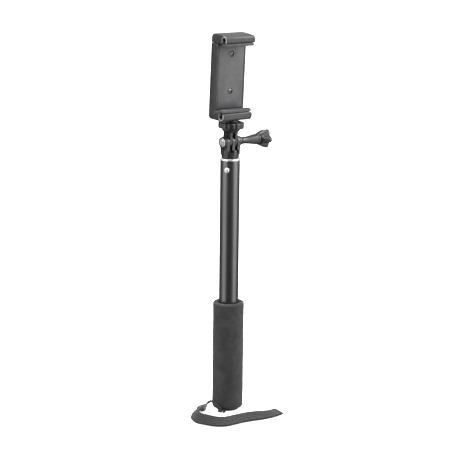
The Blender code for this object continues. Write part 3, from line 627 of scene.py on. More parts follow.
class STICK_OT_strap(Build, bpy.types.Operator):
    """Lay the wrist strap: its cord, its ferrule and its two layers of webbing"""
    bl_idname = "stick.strap"
    bl_label = "Wrist strap"

    def execute(self, context):
        ferrule = finish_piece(ferrule_mesh(), "handle", moulded_plastic(
            "grey_crimp_plastic", "5a5a5a", "6e6e6e", 0.36, 0.8, 0.03), ["strap_ferrule"], 50)
        route = string_route()
        cord = wire("wrist_cord", route, 0.6, 3)
        finish_piece(cord, "handle", braided_cord(), ["strap_string"])
        self.webbing(context.scene.stick_strap)
        return {"FINISHED"}

    def webbing(self, settings):
        """One ribbon that runs out, folds over at the far end and comes back on top of itself."""
        middle = smooth_route([p[:3] for p in WEB_ROUTE], 0.7)
        count = len(middle)
        frames = []
        for i, point in enumerate(middle):
            along = (middle[min(i + 1, count - 1)] - middle[max(i - 1, 0)]).normalized()
            level = along.cross(Vector((0, 0, 1))).normalized()
            at = i / (count - 1) * (len(WEB_ROUTE) - 1)
            first = min(int(at), len(WEB_ROUTE) - 2)
            bank = math.radians(WEB_ROUTE[first][3] + (WEB_ROUTE[first + 1][3] - WEB_ROUTE[first][3])
                                * (at - first))
            side = level * math.cos(bank) + along.cross(level) * math.sin(bank)
            frames.append((point, along, side, side.cross(along)))
        half = settings.width / MM / 2
        layer = settings.layer / MM
        apart = layer / 2 + 0.08
        stations = [(f, -apart) for f in frames[:-2]]
        point, along, side, normal = frames[-2]
        for k in range(9):
            angle = -math.pi / 2 + math.pi * k / 8
            bend = (point + along * apart * 1.3 * math.cos(angle), along, side, normal)
            stations.append((bend, apart * math.sin(angle)))
        stations += [(f, apart) for f in reversed(frames[:-2])]
        shape = bmesh.new()
        ribbon = shape.loops.layers.uv.new("ribbon")
        across = settings.ridges * 8
        rows, travelled, last = [], 0.0, None
        for index, ((point, along, side, normal), offset) in enumerate(stations):
            # The layer's own outward side turns over with the fold.
            turn = min(max((index - (len(frames) - 2)) / 8, 0.0), 1.0)
            outward = -normal * math.cos(math.pi * turn) + along * math.sin(math.pi * turn)
            centre = point + normal * offset
            if last is not None:
                travelled += (centre - last).length
            last = centre
            ring = []
            for sheet_side in (1, -1):
                for k in range(across + 1):
                    share = k / across if sheet_side == 1 else 1 - k / across
                    ridge = abs(math.sin(math.pi * share * settings.ridges)) ** 0.7
                    edge = min(share, 1 - share) * 2 * half
                    thick = layer / 2 * min(1.0, 0.35 + edge / 0.9) * (0.62 + 0.38 * ridge)
                    curl = 0.06 * math.sin(travelled / 5.3 + share * 4)
                    place = centre + side * (share * 2 - 1) * half + outward * (sheet_side * thick + curl)
                    ring.append((shape.verts.new(place * MM), share))
            rows.append((ring, travelled))
        for (ring, start), (next_ring, end) in zip(rows, rows[1:]):
            for k in range(len(ring)):
                j = (k + 1) % len(ring)
                corners = [(ring[k], start), (next_ring[k], end), (next_ring[j], end), (ring[j], start)]
                face = shape.faces.new([vert for (vert, _), _ in corners])
                for loop, ((_, share), reach) in zip(face.loops, corners):
                    loop[ribbon].uv = (share, reach / (2 * half))
        shape.faces.new([vert for vert, _ in rows[0][0]])
        shape.faces.new([vert for vert, _ in reversed(rows[-1][0])])
        bmesh.ops.recalc_face_normals(shape, faces=shape.faces)
        band = finish_piece(new_object("webbing_loop", shape), "handle", woven_webbing(settings.ridges),
                            ["strap_webbing"], 60)


class STICK_OT_pole(Build, bpy.types.Operator):
    """Build the outer tube with its bright ring, guide bush and rivet"""
    bl_idname = "stick.pole"
    bl_label = "Outer tube"

    def execute(self, context):
        look = anodised_tube(context.scene.stick_pole.tube_colour)
        tube = sleeve("pole_tube", POLE_R, POLE_R - 0.9, POLE_BOTTOM, POLE_TOP, 0.2, 128)
        hole = laid(rod("rivet_hole", 1.7, MIDDLE_R - 1.0, POLE_R + 2.0, 32),
                    Matrix.Translation((0, 0, RIVET_HEIGHT * MM)) @ Matrix.Rotation(RIVET_ANGLE, 4, "Z")
                    @ Matrix.Rotation(math.pi / 2, 4, "Y"))
        finish_piece(cut(tube, hole), "handle", look, ["outer_tube"])

        bush = sleeve("pole_guide_bush", POLE_R - 1.02, MIDDLE_R + 0.15, POLE_TOP - 15.0, POLE_TOP, 0.2)
        finish_piece(bush, "handle", moulded_plastic("acetal", "8f9092", "9b9c9e", 0.4), ["guide_bush"])

        edge = 0.35
        ring = lathe("bright_ring", [
            (MIDDLE_R + 0.3, RING_HIGH), (RING_R - edge, RING_HIGH),
            *arc((RING_R - edge, RING_HIGH - edge), edge, 75, 0, 4), (RING_R, RING_LOW + 0.2),
            (RING_R - 0.1, RING_LOW), (MIDDLE_R + 0.3, RING_LOW),
        ], 128)
        bright = plated_metal("diamond_cut_aluminium", "efefef", "fafafa", 0.5, 0.4, (1, 1, 0.2))
        finish_piece(ring, "handle", bright, ["collar_ring"])

        face, head, rise = POLE_R + 0.25, 2.55, 1.35
        rivet = lathe("dome_rivet", [
            (0, face + rise - 0.62), (0.3, face + rise - 0.6), (0.5, face + rise - 0.42),
            (0.7, face + rise - 0.05),
            (0.95, face + rise), (1.5, face + rise - 0.12), (2.0, face + rise - 0.42),
            (2.35, face + rise - 0.8),
            (head, face + 0.25), (head, face), (1.45, face), (1.45, MIDDLE_R + 0.5), (0, MIDDLE_R + 0.5),
        ], 64)
        lie = (Matrix.Translation((0, 0, RIVET_HEIGHT * MM)) @ Matrix.Rotation(RIVET_ANGLE, 4, "Z")
               @ Matrix.Rotation(math.pi / 2, 4, "Y"))
        steel = plated_metal("nickel_plated_steel", "dcdcdc", "efefef", 0.36, 0.5)
        finish_piece(rivet, "handle", steel, ["bush_rivet"], 50, lie)
        return {"FINISHED"}


class STICK_OT_grip(Build, bpy.types.Operator):
    """Build the foam grip, a little uneven as soft foam is"""
    bl_idname = "stick.grip"
    bl_label = "Foam grip"

    def execute(self, context):
        settings = context.scene.stick_pole
        uneven = settings.foam_unevenness / MM

        def wobble(angle, height):
            place = Vector((math.cos(angle) * 1.6, math.sin(angle) * 1.6, height / 14))
            return uneven * (noise.noise(place) + 0.5 * noise.noise(place * 3.1))

        side = [(GRIP_R, GRIP_TOP - 1.8 - (GRIP_TOP - GRIP_BOTTOM - 4.3) * i / 40) for i in range(1, 40)]
        grip = lathe("foam_sleeve", [
            (POLE_R + 0.25, GRIP_TOP - 2.6), (POLE_R + 0.7, GRIP_TOP - 1.2), (POLE_R + 1.2, GRIP_TOP - 0.45),
            (POLE_R + 1.9, GRIP_TOP - 0.2), (POLE_R + 2.6, GRIP_TOP - 0.02),
            *arc((GRIP_R - 1.9, GRIP_TOP - 1.9), 1.9, 80, 0, 8), *side,
            *arc((GRIP_R - 2.6, GRIP_BOTTOM + 2.6), 2.6, 0, -85, 8),
            (POLE_R + 1.0, GRIP_BOTTOM), (POLE_R + 0.25, GRIP_BOTTOM + 0.4),
        ], 128, wobble)
        finish_piece(grip, "handle", grip_foam(settings.foam_colour), ["foam_grip"], 60)
        return {"FINISHED"}


class STICK_OT_end_cap(Build, bpy.types.Operator):
    """Build the end cap with the lug that the wrist cord is tied to"""
    bl_idname = "stick.end_cap"
    bl_label = "End cap"

    def execute(self, context):
        plug, rim = POLE_R - 1.05, 10.7
        cap = lathe("pole_end_cap", [
            (0, 11.0), (plug - 0.6, 11.0), (plug - 0.2, 10.8), (plug, 10.4), (plug, 1.6), (rim - 0.35, 1.6),
            *arc((rim - 0.35, 1.25), 0.35, 60, 0, 3), (rim, 0.4), *arc((rim - 0.4, 0.4), 0.4, -25, -90, 3),
            (7.2, 0.0), (6.9, 0.25), (6.2, 0.25), (5.9, 0.0), (0, 0.0),
        ], 96)
        tab = block("lug_tab", (rim - 2.0, -2.8, 0.25), (14.0, 2.8, 1.4))
        pieces = [soften(tab, 0.3, 35, 2)]
        for side in (-1, 1):
            start, end = sorted((side * 1.7, side * 3.1))
            outline = rounded([(12.9, 0.1, 0.3), (17.5, 0.1, 0.7), (17.5, 3.0, 1.0), (15.2, 3.0, 0.6),
                               (14.3, 1.5, 0.4), (12.9, 1.5, 0)], 5)
            pieces.append(soften(slab("lug_cheek", outline, start, end, "Y"), 0.2, 40, 2))
        bar = rod("lug_bar", 0.7, -2.4, 2.4, 24, 0.05)
        pieces.append(laid(bar, Matrix.Translation((LUG_BAR_AT * MM, 0,
                                                    1.95 * MM)) @ Matrix.Rotation(math.pi / 2, 4, "X")))
        for piece in pieces:
            laid(piece, Matrix.Rotation(LUG_ANGLE, 4, "Z"))
        look = moulded_plastic("black_polypropylene", "1b1c1d", "232425", 0.42)
        finish_piece(join(cap, *pieces), "handle", look, ["end_cap"], 40)
        return {"FINISHED"}


class STICK_OT_stages(Build, bpy.types.Operator):
    """Build the two sliding tubes with their foot and guide bushes"""
    bl_idname = "stick.stages"
    bl_label = "Sliding tubes"

    def execute(self, context):
        tube_look = bpy.data.materials["anodised_black_aluminium"]
        acetal = bpy.data.materials["acetal"]
        steel = bpy.data.materials["nickel_plated_steel"]
        middle_low, middle_top = low("middle_tube").z, high("middle_tube").z
        middle = sleeve("middle_stage_tube", MIDDLE_R, MIDDLE_R - 0.7, middle_low, middle_top, 0.2, 96)
        finish_piece(middle, "middle_stage", tube_look, ["middle_tube"])
        foot = sleeve("middle_stage_foot", POLE_R - 1.1, MIDDLE_R + 0.1, middle_low, middle_low + 12, 0.3)
        finish_piece(foot, "middle_stage", acetal, ["middle_foot_bush"])
        guide = sleeve("middle_stage_guide", MIDDLE_R - 0.8, INNER_R + 0.15, middle_top - 15,
                       middle_top - 0.2, 0.15)
        finish_piece(guide, "middle_stage", acetal, ["middle_guide_bush"])

        inner_low, inner_top = low("inner_tube").z, high("inner_tube").z
        inner = sleeve("inner_stage_tube", INNER_R, INNER_R - 0.65, inner_low, inner_top, 0.15, 96)
        hole = laid(rod("pin_hole", 0.95, -6.0, 6.0, 24),
                    Matrix.Translation((0, 0, 0.234)) @ Matrix.Rotation(math.pi / 2, 4, "X"))
        finish_piece(cut(inner, hole), "inner_stage", tube_look, ["inner_tube"])
        foot = sleeve("inner_stage_foot", MIDDLE_R - 0.85, INNER_R + 0.1, inner_low, inner_low + 12, 0.3)
        finish_piece(foot, "inner_stage", acetal, ["inner_foot_bush"])
        pin = lathe("head_roll_pin", [
            (0, 4.5), (0.55, 4.5), (0.8, 4.2), (0.8, -4.2), (0.55, -4.5), (0, -4.5),
        ], 32)
        lie = Matrix.Translation((0, 0, 0.234)) @ Matrix.Rotation(math.pi / 2, 4, "X")
        finish_piece(pin, "inner_stage", steel, ["head_pin"], 40, lie)
        return {"FINISHED"}


class STICK_OT_head_base(Build, bpy.types.Operator):
    """Build the three-eared hinge base with its captive nut"""
    bl_idname = "stick.head_base"
    bl_label = "Hinge base"

    def execute(self, context):
        edge = context.scene.stick_head.edge / MM
        bottom, radius, hinge, ear_r, ear_foot = 240.6, 8.1, HINGE.z / MM, 5.6, 4.6
        base = lathe("hinge_base", [
            (0, 248.4), (radius - 1.0, 248.4), *arc((radius - 1.0, 247.4), 1.0, 70, 0, 4),
            (radius, bottom + 1.2), *arc((radius - 1.2, bottom + 1.2), 1.2, 0, -80, 5), (3.9, bottom),
            (3.9, 229.5), (3.5, 229.1), (0, 229.1),
        ], 96)
        half = (3 * 3.0 + 2 * 3.1) / 2
        crown = arc((0, hinge), ear_r, 0, 180, 40)
        ears = slab("ear_block", [(-ear_foot, bottom + 3), (ear_foot, bottom + 3), *crown], -half, half, "X")
        boss = along_x(lathe("nut_boss", [
            (0, -half + 1.0), (5.15, -half + 1.0), (5.15, -9.3), *arc((4.75, -9.3), 0.4, -20, -90, 3),
            (0, -9.7),
        ], 64), hinge)
        join(base, ears, boss)
        for side in (-1, 1):
            middle = side * 3.05
            floor = hinge - 7.9
            outline = [(middle + 1.55, 270), (middle - 1.55, 270), *arc((middle, floor), 1.55, 180, 360, 12)]
            cut(base, slab("ear_slot", outline, -12, 12, "Y"))
        soften(base, edge, 38, 2)
        hole = along_x(rod("bolt_hole", BOLT_HOLE_R, -12, 12, 48), hinge)
        pocket = along_x(rod("nut_pocket", 4.05 / math.cos(math.pi / 6), -12, -7.15, 6, 0.06), hinge)
        cut(base, hole, pocket)
        nylon = moulded_plastic("glass_filled_nylon", "262626", "303030", 0.26, 0.6, 0.02)
        finish_piece(base, "inner_stage", nylon, ["head_base"], 32)

        across = 3.9
        nut = lathe("hex_nut", [
            (across / math.cos(math.pi / 6), -7.45), (across / math.cos(math.pi / 6), -9.2), (across, -9.6),
            (1.0, -9.6),
            (1.0, -7.45),
        ], 6)
        cut(nut, rod("nut_bore", BOLT_HOLE_R, -12, -6, 48))
        soften(nut, 0.12, 30, 2)
        finish_piece(nut, "inner_stage", bpy.data.materials["nickel_plated_steel"], ["hinge_nut"], 30,
                     AT_KNOB)
        return {"FINISHED"}


class STICK_OT_thumb_screw(Build, bpy.types.Operator):
    """Build the hinge bolt and the five-lobed thumb knob"""
    bl_idname = "stick.thumb_screw"
    bl_label = "Thumb screw"

    def execute(self, context):
        teeth = context.scene.stick_head.knob_teeth
        steel = bpy.data.materials["nickel_plated_steel"]
        thread, z = [], 14.0
        while z > -8.7:
            thread += [(BOLT_R, z), (BOLT_R - 0.36, z - 0.4)]
            z -= 0.8
        bolt = lathe("thumb_screw_bolt", [
            (0, 24.0), (BOLT_R - 0.2, 24.0), (BOLT_R, 23.8), *thread, (BOLT_R - 0.1, -9.3),
            (BOLT_R - 0.5, -9.75), (0, -9.8),
        ], 48)
        finish_piece(bolt, "thumb_screw", steel, ["hinge_bolt"], 40, AT_KNOB)

        # (height along the bolt, valley radius, lobe radius)
        stations = [
            (41.6, 0.0, 0.0), (41.6, 2.6, 2.6), (41.8, 3.2, 3.2), (42.45, 4.4, 6.2), (42.5, 5.4, 8.3),
            (42.35, 5.9, 8.8),
            (41.9, 6.15, 9.1), (41.0, 6.3, 9.15), (39.6, 6.25, 8.85), (38.2, 6.1, 8.35), (36.9, 5.95, 7.85),
            (35.8, 5.85, 7.4), (34.9, 5.8, 7.05), (34.2, 5.75, 6.75), (33.5, 5.75, 6.35),
            (33.1, 5.75, 5.95), (32.8, 5.75, 5.75), (32.55, 5.6, 5.6), (32.4, 5.15, 5.15),
            (32.2, 5.05, 5.05), (32.0, 5.2, 5.2), (30.8, 5.2, 5.2),
            (30.5, 5.0, 5.0), (29.0, 4.92, 4.92), (27.0, 4.66, 4.66), (25.0, 4.34, 4.34),
            (23.0, 4.02, 4.02), (21.0, 3.72, 3.72),
            (19.0, 3.45, 3.45), (17.0, 3.28, 3.28), (15.2, 3.22, 3.22), (13.6, 3.35, 3.35),
            (12.3, 3.62, 3.62),
            (11.2, 4.0, 4.0), (10.6, 4.3, 4.3), (10.3, 4.5, 4.5), (10.0, 4.55, 4.55), (8.2, 4.55, 4.55),
            (7.95, 4.4, 4.4),
            (7.85, 4.2, 4.2), (7.85, 2.6, 2.6),
        ]
        count = 300
        shape = bmesh.new()
        rings = []
        for height, valley, lobe in stations:
            if lobe == 0:
                rings.append([shape.verts.new((0, 0, height * MM))])
                continue
            ring = []
            for i in range(count):
                angle = 2 * math.pi * i / count
                swell = (math.cos(5 * (angle - STAR_TURN) / 2) ** 2) ** 0.62
                tooth = 0.11 * max(0.0, math.cos(teeth * angle)) * min(1.0,
                        max(0.0, (lobe - 6.6) / 1.5)) * min(1.0, swell * 2.0)
                reach = valley + (lobe - valley) * swell - tooth
                ring.append(shape.verts.new((reach * math.cos(angle) * MM, reach * math.sin(angle) * MM,
                                             height * MM)))
            rings.append(ring)
        for upper, lower in zip(rings, rings[1:]):
            for i in range(count):
                j = (i + 1) % count
                if len(upper) == 1:
                    shape.faces.new((upper[0], lower[i], lower[j]))
                else:
                    shape.faces.new((upper[i], lower[i], lower[j], upper[j]))
        shape.faces.new(list(reversed(rings[-1])))
        bmesh.ops.recalc_face_normals(shape, faces=shape.faces)
        knob = new_object("thumb_knob_star", shape)
        finish_piece(knob, "thumb_screw", bpy.data.materials["glass_filled_nylon"], ["thumb_knob"], 45,
                     AT_KNOB)
        return {"FINISHED"}


class STICK_OT_adapter(Build, bpy.types.Operator):
    """Build the two-eared adapter with its threaded stud"""
    bl_idname = "stick.adapter"
    bl_label = "Two-ear adapter"

    def execute(self, context):
        edge = context.scene.stick_head.edge / MM
        top, slot, ear = 12.6, 3.1, 2.9
        adapter = lathe("two_ear_neck", [
            (0, top), (8.3, top), *arc((8.3, top - 0.3), 0.3, 70, 0, 3), (8.6, top - 0.8), (8.3, 11.35),
            (7.6, 10.5),
            (6.9, 9.75), (6.5, 9.5), (0, 9.5),
        ], 96)
        half = slot / 2 + 0.05 + ear
        foot = arc((0, 0), 5.2, 180, 360, 32)
        neck = slab("neck", [*foot, (5.2, top - 1.5), (-5.2, top - 1.5)], -half, half, "X")
        join(adapter, soften(neck, edge, 38, 3))
        crest = arc((0, 9.2 - slot / 2), slot / 2 + 0.05, 0, 180, 12)
        gap = slab("neck_slot", [*crest, (-slot / 2 - 0.05, -9), (slot / 2 + 0.05, -9)], -9, 9, "Y")
        cut(adapter, gap, along_x(rod("neck_bolt_hole", BOLT_HOLE_R, -9, 9, 48)))
        cut(adapter, rod("stud_socket", STUD_R + 0.15, 9.9, 15, 48, 0.05))
        soften(adapter, 0.2, 40, 2)
        finish_piece(adapter, "tilt_head", bpy.data.materials["glass_filled_nylon"], ["two_ear_adapter"],
                     32, AT_HEAD)

        thread, z = [], 24.1
        while z > 14.0:
            thread += [(STUD_R, z), (STUD_R, z - 0.15), (STUD_R - 0.55, z - 0.64), (STUD_R - 0.55, z - 0.78)]
            z -= 1.27
        stud = lathe("quarter_inch_stud",
                     [(0, STUD_TOP), (STUD_R - 0.6, STUD_TOP), *thread, (STUD_R, 10.3), (STUD_R - 0.2, 10.2),
                      (0, 10.2)], 64)
        finish_piece(stud, "tilt_head", bpy.data.materials["nickel_plated_steel"], ["tripod_stud"], 40,
                     AT_HEAD)
        return {"FINISHED"}


class STICK_OT_lock_wheel(Build, bpy.types.Operator):
    """Build the fluted lock wheel under the clamp"""
    bl_idname = "stick.lock_wheel"
    bl_label = "Lock wheel"

    def execute(self, context):
        flutes = context.scene.stick_head.wheel_flutes
        outline = []
        for i in range(flutes * 24):
            angle = 2 * math.pi * i / (flutes * 24)
            dip = max(0.0, math.cos(flutes * angle)) ** 1.5
            fine = 0.09 * max(0.0, math.cos(flutes * 6 * angle)) * (1 - dip)
            reach = WHEEL_R - 0.85 * dip - fine
            outline.append((reach * math.cos(angle), reach * math.sin(angle)))
        wheel = soften(slab("fluted_wheel", outline, 13.0, 18.5), 0.75, 60, 4)
        cut(wheel, rod("wheel_bore", STUD_R + 0.2, 11, 20, 48))
        top = lathe("wheel_dish", [(3.4, 19.0), (9.6, 19.0), (9.2, 18.1), (3.4, 18.1)], 96)
        cut(wheel, top)
        finish_piece(wheel, "lock_wheel", bpy.data.materials["glass_filled_nylon"], ["lock_wheel"], 32,
                     AT_HEAD)
        return {"FINISHED"}


def end_rim(name, top, bottom, side, body, look):
    """The rounded rim round the hollow in a lip's end face: up one side, over and down the other."""
    sign = 1 if top > bottom else -1
    radius = 3.0
    centre = top - sign * radius
    path = [(KEY_AT - radius, bottom), (KEY_AT - radius, centre)]
    path += [(KEY_AT - radius * math.cos(math.radians(a)), centre + sign * radius * math.sin(math.radians(a)))
             for a in range(15, 180, 15)]
    path += [(KEY_AT + radius, centre), (KEY_AT + radius, bottom)]
    route = smooth_route([(side * (CLAMP_HALF + 0.05), v, w) for v, w in path], 0.5)
    rim = settle(wire(name, route, 0.48, 4))
    return finish_piece(rim, body, look, (), 50, AT_HEAD)


def keyhole(side, at, mouth):
    """A cutter for the hollow in a lip's end: a round hole and the slit from it to the pad."""
    start, end = sorted((side * (CLAMP_HALF - 2.6), side * (CLAMP_HALF + 2)))
    hole = along_x(rod("keyhole", 1.75, start, end, 32, 0.05), at, KEY_AT)
    slit_low, slit_high = sorted((at, mouth))
    return [hole, block("key_slit", (start, KEY_AT - 0.7, slit_low), (end, KEY_AT + 0.7, slit_high))]


class STICK_OT_clamp_body(Build, bpy.types.Operator):
    """Build the clamp body with its lower lip and the brass insert in its foot"""
    bl_idname = "stick.clamp_body"
    bl_label = "Clamp body"

    def execute(self, context):
        outline = rounded([
            (LIP_FRONT, CLAMP_BOTTOM, 2.4), (CLAMP_BACK, CLAMP_BOTTOM, 3.2), (CLAMP_BACK, BODY_TOP, 0),
            (CLAMP_FACE, BODY_TOP, 0), (CLAMP_FACE, LOWER_LIP_TOP, 1.0),
            (LIP_FRONT, LOWER_LIP_TOP - 0.3, 1.2),
        ])
        body = soften(slab("clamp_shell", outline, -CLAMP_HALF, CLAMP_HALF, "X"), 0.6, 38, 3)
        inside = CLAMP_HALF - 1.6
        tools = [
            block("clamp_cavity", (-inside, -2.0, LOWER_LIP_TOP + 2.0),
                  (inside, CLAMP_BACK - 1.6, BODY_TOP + 5)),
            block("lower_groove", (-20, RIB_FRONT - 0.3, GROOVE_LOW), (20, RIB_BACK + 0.3, 33.0)),
        ]
        cut(body, *tools)
        for height in SCREW_HEIGHTS:
            join(body, along_y(rod("screw_post", 2.8, -CLAMP_BACK + 1.0, -CLAMP_FACE - 2.3, 32, 0.1), 0,
                               height))
        for side in (-1, 1):
            start, end = sorted((side * 9.5, side * (inside + 0.8)))
            shelf_end = (end, CLAMP_BACK - 1.0, BODY_TOP - 0.4)
            join(body, block("spring_stop", (start, SLIDER_FRONT, 87.4), shelf_end))
            join(body, *end_plugs(side, GROOVE_LOW, 28.5))
            cut(body, *keyhole(side, 24.9, 29.5))
        join(body, rod("insert_boss", 6.5, CLAMP_BOTTOM - 1.9, CLAMP_BOTTOM + 2.0, 64, 0.4))
        cut(body, rod("insert_pocket", 4.9, CLAMP_BOTTOM - 4.0, CLAMP_BOTTOM + 4.4, 48, 0.05))
        recess = rounded([(5.2, 32.0, 0.8), (11.6, 32.0, 0.8), (11.6, 88.0, 0.8), (5.2, 88.0, 0.8)], 5)
        for side in (-1, 1):
            inner, outer = sorted((side * (CLAMP_HALF - 0.35), side * (CLAMP_HALF + 1)))
            cut(body, slab("side_recess", recess, inner, outer, "X"))
        look = moulded_plastic("grained_abs", "2f3030", "393939", 0.4, 0.5, 0.03)
        finish_piece(body, "clamp", look, ["clamp_body"], 32, AT_HEAD)
        # The rims get a pale grey base: a painted highlight standing in for the light that their rounded
        # edges catch.
        highlight_rim_look = moulded_plastic("painted_highlight_abs_rim", "8a8a8a", "a4a4a4", 0.3, 0.5, 0.01)
        for side in (-1, 1):
            end_rim(f"lower_lip_rim_{'left' if side < 0 else 'right'}", 21.7, 27.4, side, "clamp", highlight_rim_look)

        insert = sleeve("brass_insert", 4.7, STUD_R + 0.2, CLAMP_BOTTOM - 1.6, CLAMP_BOTTOM + 4.0, 0.3, 64)
        finish_piece(insert, "clamp", plated_metal("turned_brass", "a98d4e", "c4a964", 0.3),
                     ["threaded_insert"], 40, AT_HEAD)
        return {"FINISHED"}


def end_plugs(side, bottom, top):
    """Closes the pad groove at a lip's end, so that the keyhole can be cut in it."""
    start, end = sorted((side * (CLAMP_HALF - 2.4), side * CLAMP_HALF))
    return [block("groove_end", (start, RIB_FRONT - 0.6, bottom - 0.3), (end, RIB_BACK + 0.6, top - 0.7))]


class STICK_OT_face_plate(Build, bpy.types.Operator):
    """Build the cover plate that the phone's back rests on, with its two screws"""
    bl_idname = "stick.face_plate"
    bl_label = "Face plate"

    def execute(self, context):
        inside = CLAMP_HALF - 1.9
        start, end = CLAMP_FACE + 0.15, CLAMP_FACE + 2.0
        plate = soften(block("cover_plate", (-inside, start, LOWER_LIP_TOP + 2.3),
                             (inside, end, BODY_TOP - 0.3)), 0.35, 35, 3)
        for height in SCREW_HEIGHTS:
            cut(plate, along_y(rod("counterbore", 2.75, -CLAMP_FACE - 1.3, 2.0, 48, 0.05), 0, height))
            cut(plate, along_y(rod("clearance", 1.4, -8.0, 2.0, 32, 0.05), 0, height))
        look = moulded_plastic("grained_abs_plate", "4b4b4c", "555556", 0.42, 0.5, 0.03)
        finish_piece(plate, "clamp", look, ["face_plate"], 32, AT_HEAD)

        seat = -CLAMP_FACE - 1.2
        for label, height in zip(("lower", "upper"), SCREW_HEIGHTS):
            screw = lathe("screw_blank", [
                (0, seat + 1.0), (1.3, seat + 0.95), (1.9, seat + 0.72), (2.2, seat + 0.4),
                (2.25, seat + 0.1),
                (1.15, seat + 0.1), (1.15, -9.4), (0, -10.0),
            ], 48)
            bars = [block("driver_slot", (-1.5, -0.42, seat - 0.2), (1.5, 0.42, seat + 2)),
                    block("driver_slot", (-0.42, -1.5, seat - 0.2), (0.42, 1.5, seat + 2))]
            cut(screw, *bars)
            screw.name = f"{label}_plate_screw_head"
            steel = bpy.data.materials.get("zinc_plated_screw") or plated_metal("zinc_plated_screw",
                    "6e6e6e", "868686", 0.34)
            lie = Matrix.Translation((0, 0, height * MM)) @ Matrix.Rotation(math.pi / 2, 4, "X")
            finish_piece(screw, "clamp", steel, [f"{label}_plate_screw"], 35, AT_HEAD @ lie)
        return {"FINISHED"}


class STICK_OT_upper_jaw(Build, bpy.types.Operator):
    """Build the sliding upper jaw with its crowned hood and the legs inside the clamp"""
    bl_idname = "stick.upper_jaw"
    bl_label = "Upper jaw"

    def execute(self, context):
        crown = [(CLAMP_BACK - 4.5 * (1 - math.sin(math.radians(a))),
                  HOOD_TOP - 4.5 + 4.5 * math.cos(math.radians(a)))
                 for a in range(90, -1, -10)]
        lip = LIP_FRONT - 0.4
        nose = arc((lip + 2.0, HOOD_TOP - 3.1), 2.0, 95, 180, 10)
        outline = [
            (lip + 0.9, LIP_BOTTOM), (PAD_BACK, LIP_BOTTOM), (PAD_BACK + 0.8, HOOD_BOTTOM),
            (CLAMP_BACK, HOOD_BOTTOM),
            *crown, (0.0, HOOD_TOP - 0.25), *nose, (lip, LIP_BOTTOM + 0.9),
        ]
        jaw = soften(slab("jaw_hood", outline, -CLAMP_HALF, CLAMP_HALF, "X"), 0.9, 38, 4)
        cut(jaw, block("upper_groove", (-20, RIB_FRONT - 0.3, 86.0), (20, RIB_BACK + 0.4, GROOVE_HIGH)))
        for side in (-1, 1):
            join(jaw, *end_plugs(side, 92.6, 95.1))
            cut(jaw, *keyhole(side, 94.7, 90.0))
            start, end = sorted((side * 3.4, side * 9.0))
            leg = block("slider_leg", (start, SLIDER_FRONT, 44.0),
                        (end, SLIDER_FRONT + 2.0, HOOD_BOTTOM + 2.0))
            start, end = sorted((side * 3.45, side * 13.4))
            shoe = block("slider_shoe", (start, SLIDER_FRONT + 0.05, 43.0), (end, SLIDER_FRONT + 4.9, 47.0))
            join(jaw, soften(leg, 0.2, 35, 1), soften(shoe, 0.25, 35, 1))
        look = bpy.data.materials["grained_abs"]
        finish_piece(jaw, "jaw", look, ["upper_jaw"], 32, AT_HEAD)
        # The same pale rim plastic, whose grey is a painted highlight.
        highlight_rim_look = bpy.data.materials["painted_highlight_abs_rim"]
        for side in (-1, 1):
            end_rim(f"upper_lip_rim_{'left' if side < 0 else 'right'}", 97.5, 91.9, side, "jaw", highlight_rim_look)
        return {"FINISHED"}


class STICK_OT_pads(Build, bpy.types.Operator):
    """Build the ribbed rubber pads on both lips"""
    bl_idname = "stick.pads"
    bl_label = "Jaw pads"

    def execute(self, context):
        settings = context.scene.stick_clamp
        look = pad_rubber()
        for name, body, edge, sign in (("lower", "clamp", LOWER_LIP_TOP, 1),
                                       ("upper", "jaw", LIP_BOTTOM, -1)):
            base = edge + sign * 0.25
            face = base + sign * 2.8
            half = CLAMP_HALF - 0.4
            pitch, depth = settings.rib_pitch / MM, settings.rib_height / MM
            ribs = int(2 * half / pitch)
            steps = ribs * 8
            crest = []
            for i in range(steps + 1):
                u = half - 2 * half * i / steps
                swell = abs(math.sin(math.pi * ribs * i / steps)) ** 0.8
                crest.append((u, face - sign * depth * (1 - swell)))
            outline = [(-half, base), (half, base), *crest]
            pad = soften(slab(f"{name}_pad_strip", outline, PAD_FRONT, PAD_BACK, "Y"), 0.3, 60, 2)
            root_low, root_high = sorted((base - sign * 2.3, base + sign * 0.5))
            join(pad, block("pad_root", (-half + 2.4, RIB_FRONT, root_low),
                            (half - 2.4, RIB_BACK, root_high)))
            finish_piece(pad, body, look, [f"{name}_pad"], 40, AT_HEAD)
        return {"FINISHED"}


class STICK_OT_springs(Build, bpy.types.Operator):
    """Wind the two jaw springs as fixed coils, though springs like these shorten as the jaw opens"""
    bl_idname = "stick.springs"
    bl_label = "Jaw springs"

    def execute(self, context):
        steel = plated_metal("spring_wire", "8d8e90", "a9aaac", 0.25)
        top, bottom, radius, turns = 87.1, 47.3, 1.6, 11
        for label, side in (("left", -1), ("right", 1)):
            route = []
            for i in range(turns * 16 + 1):
                angle = 2 * math.pi * i / 16
                rise = (top - bottom - 0.5) * i / (turns * 16)
                route.append((side * SPRING_AT + radius * math.cos(angle),
                              SPRING_DEPTH + radius * math.sin(angle),
                              bottom + 0.25 + rise))
            spring = settle(wire(f"{label}_coil_spring", route, 0.25, 2))
            finish_piece(spring, "clamp", steel, [f"{label}_jaw_spring"], 60, AT_HEAD)
            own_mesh(spring)
        return {"FINISHED"}


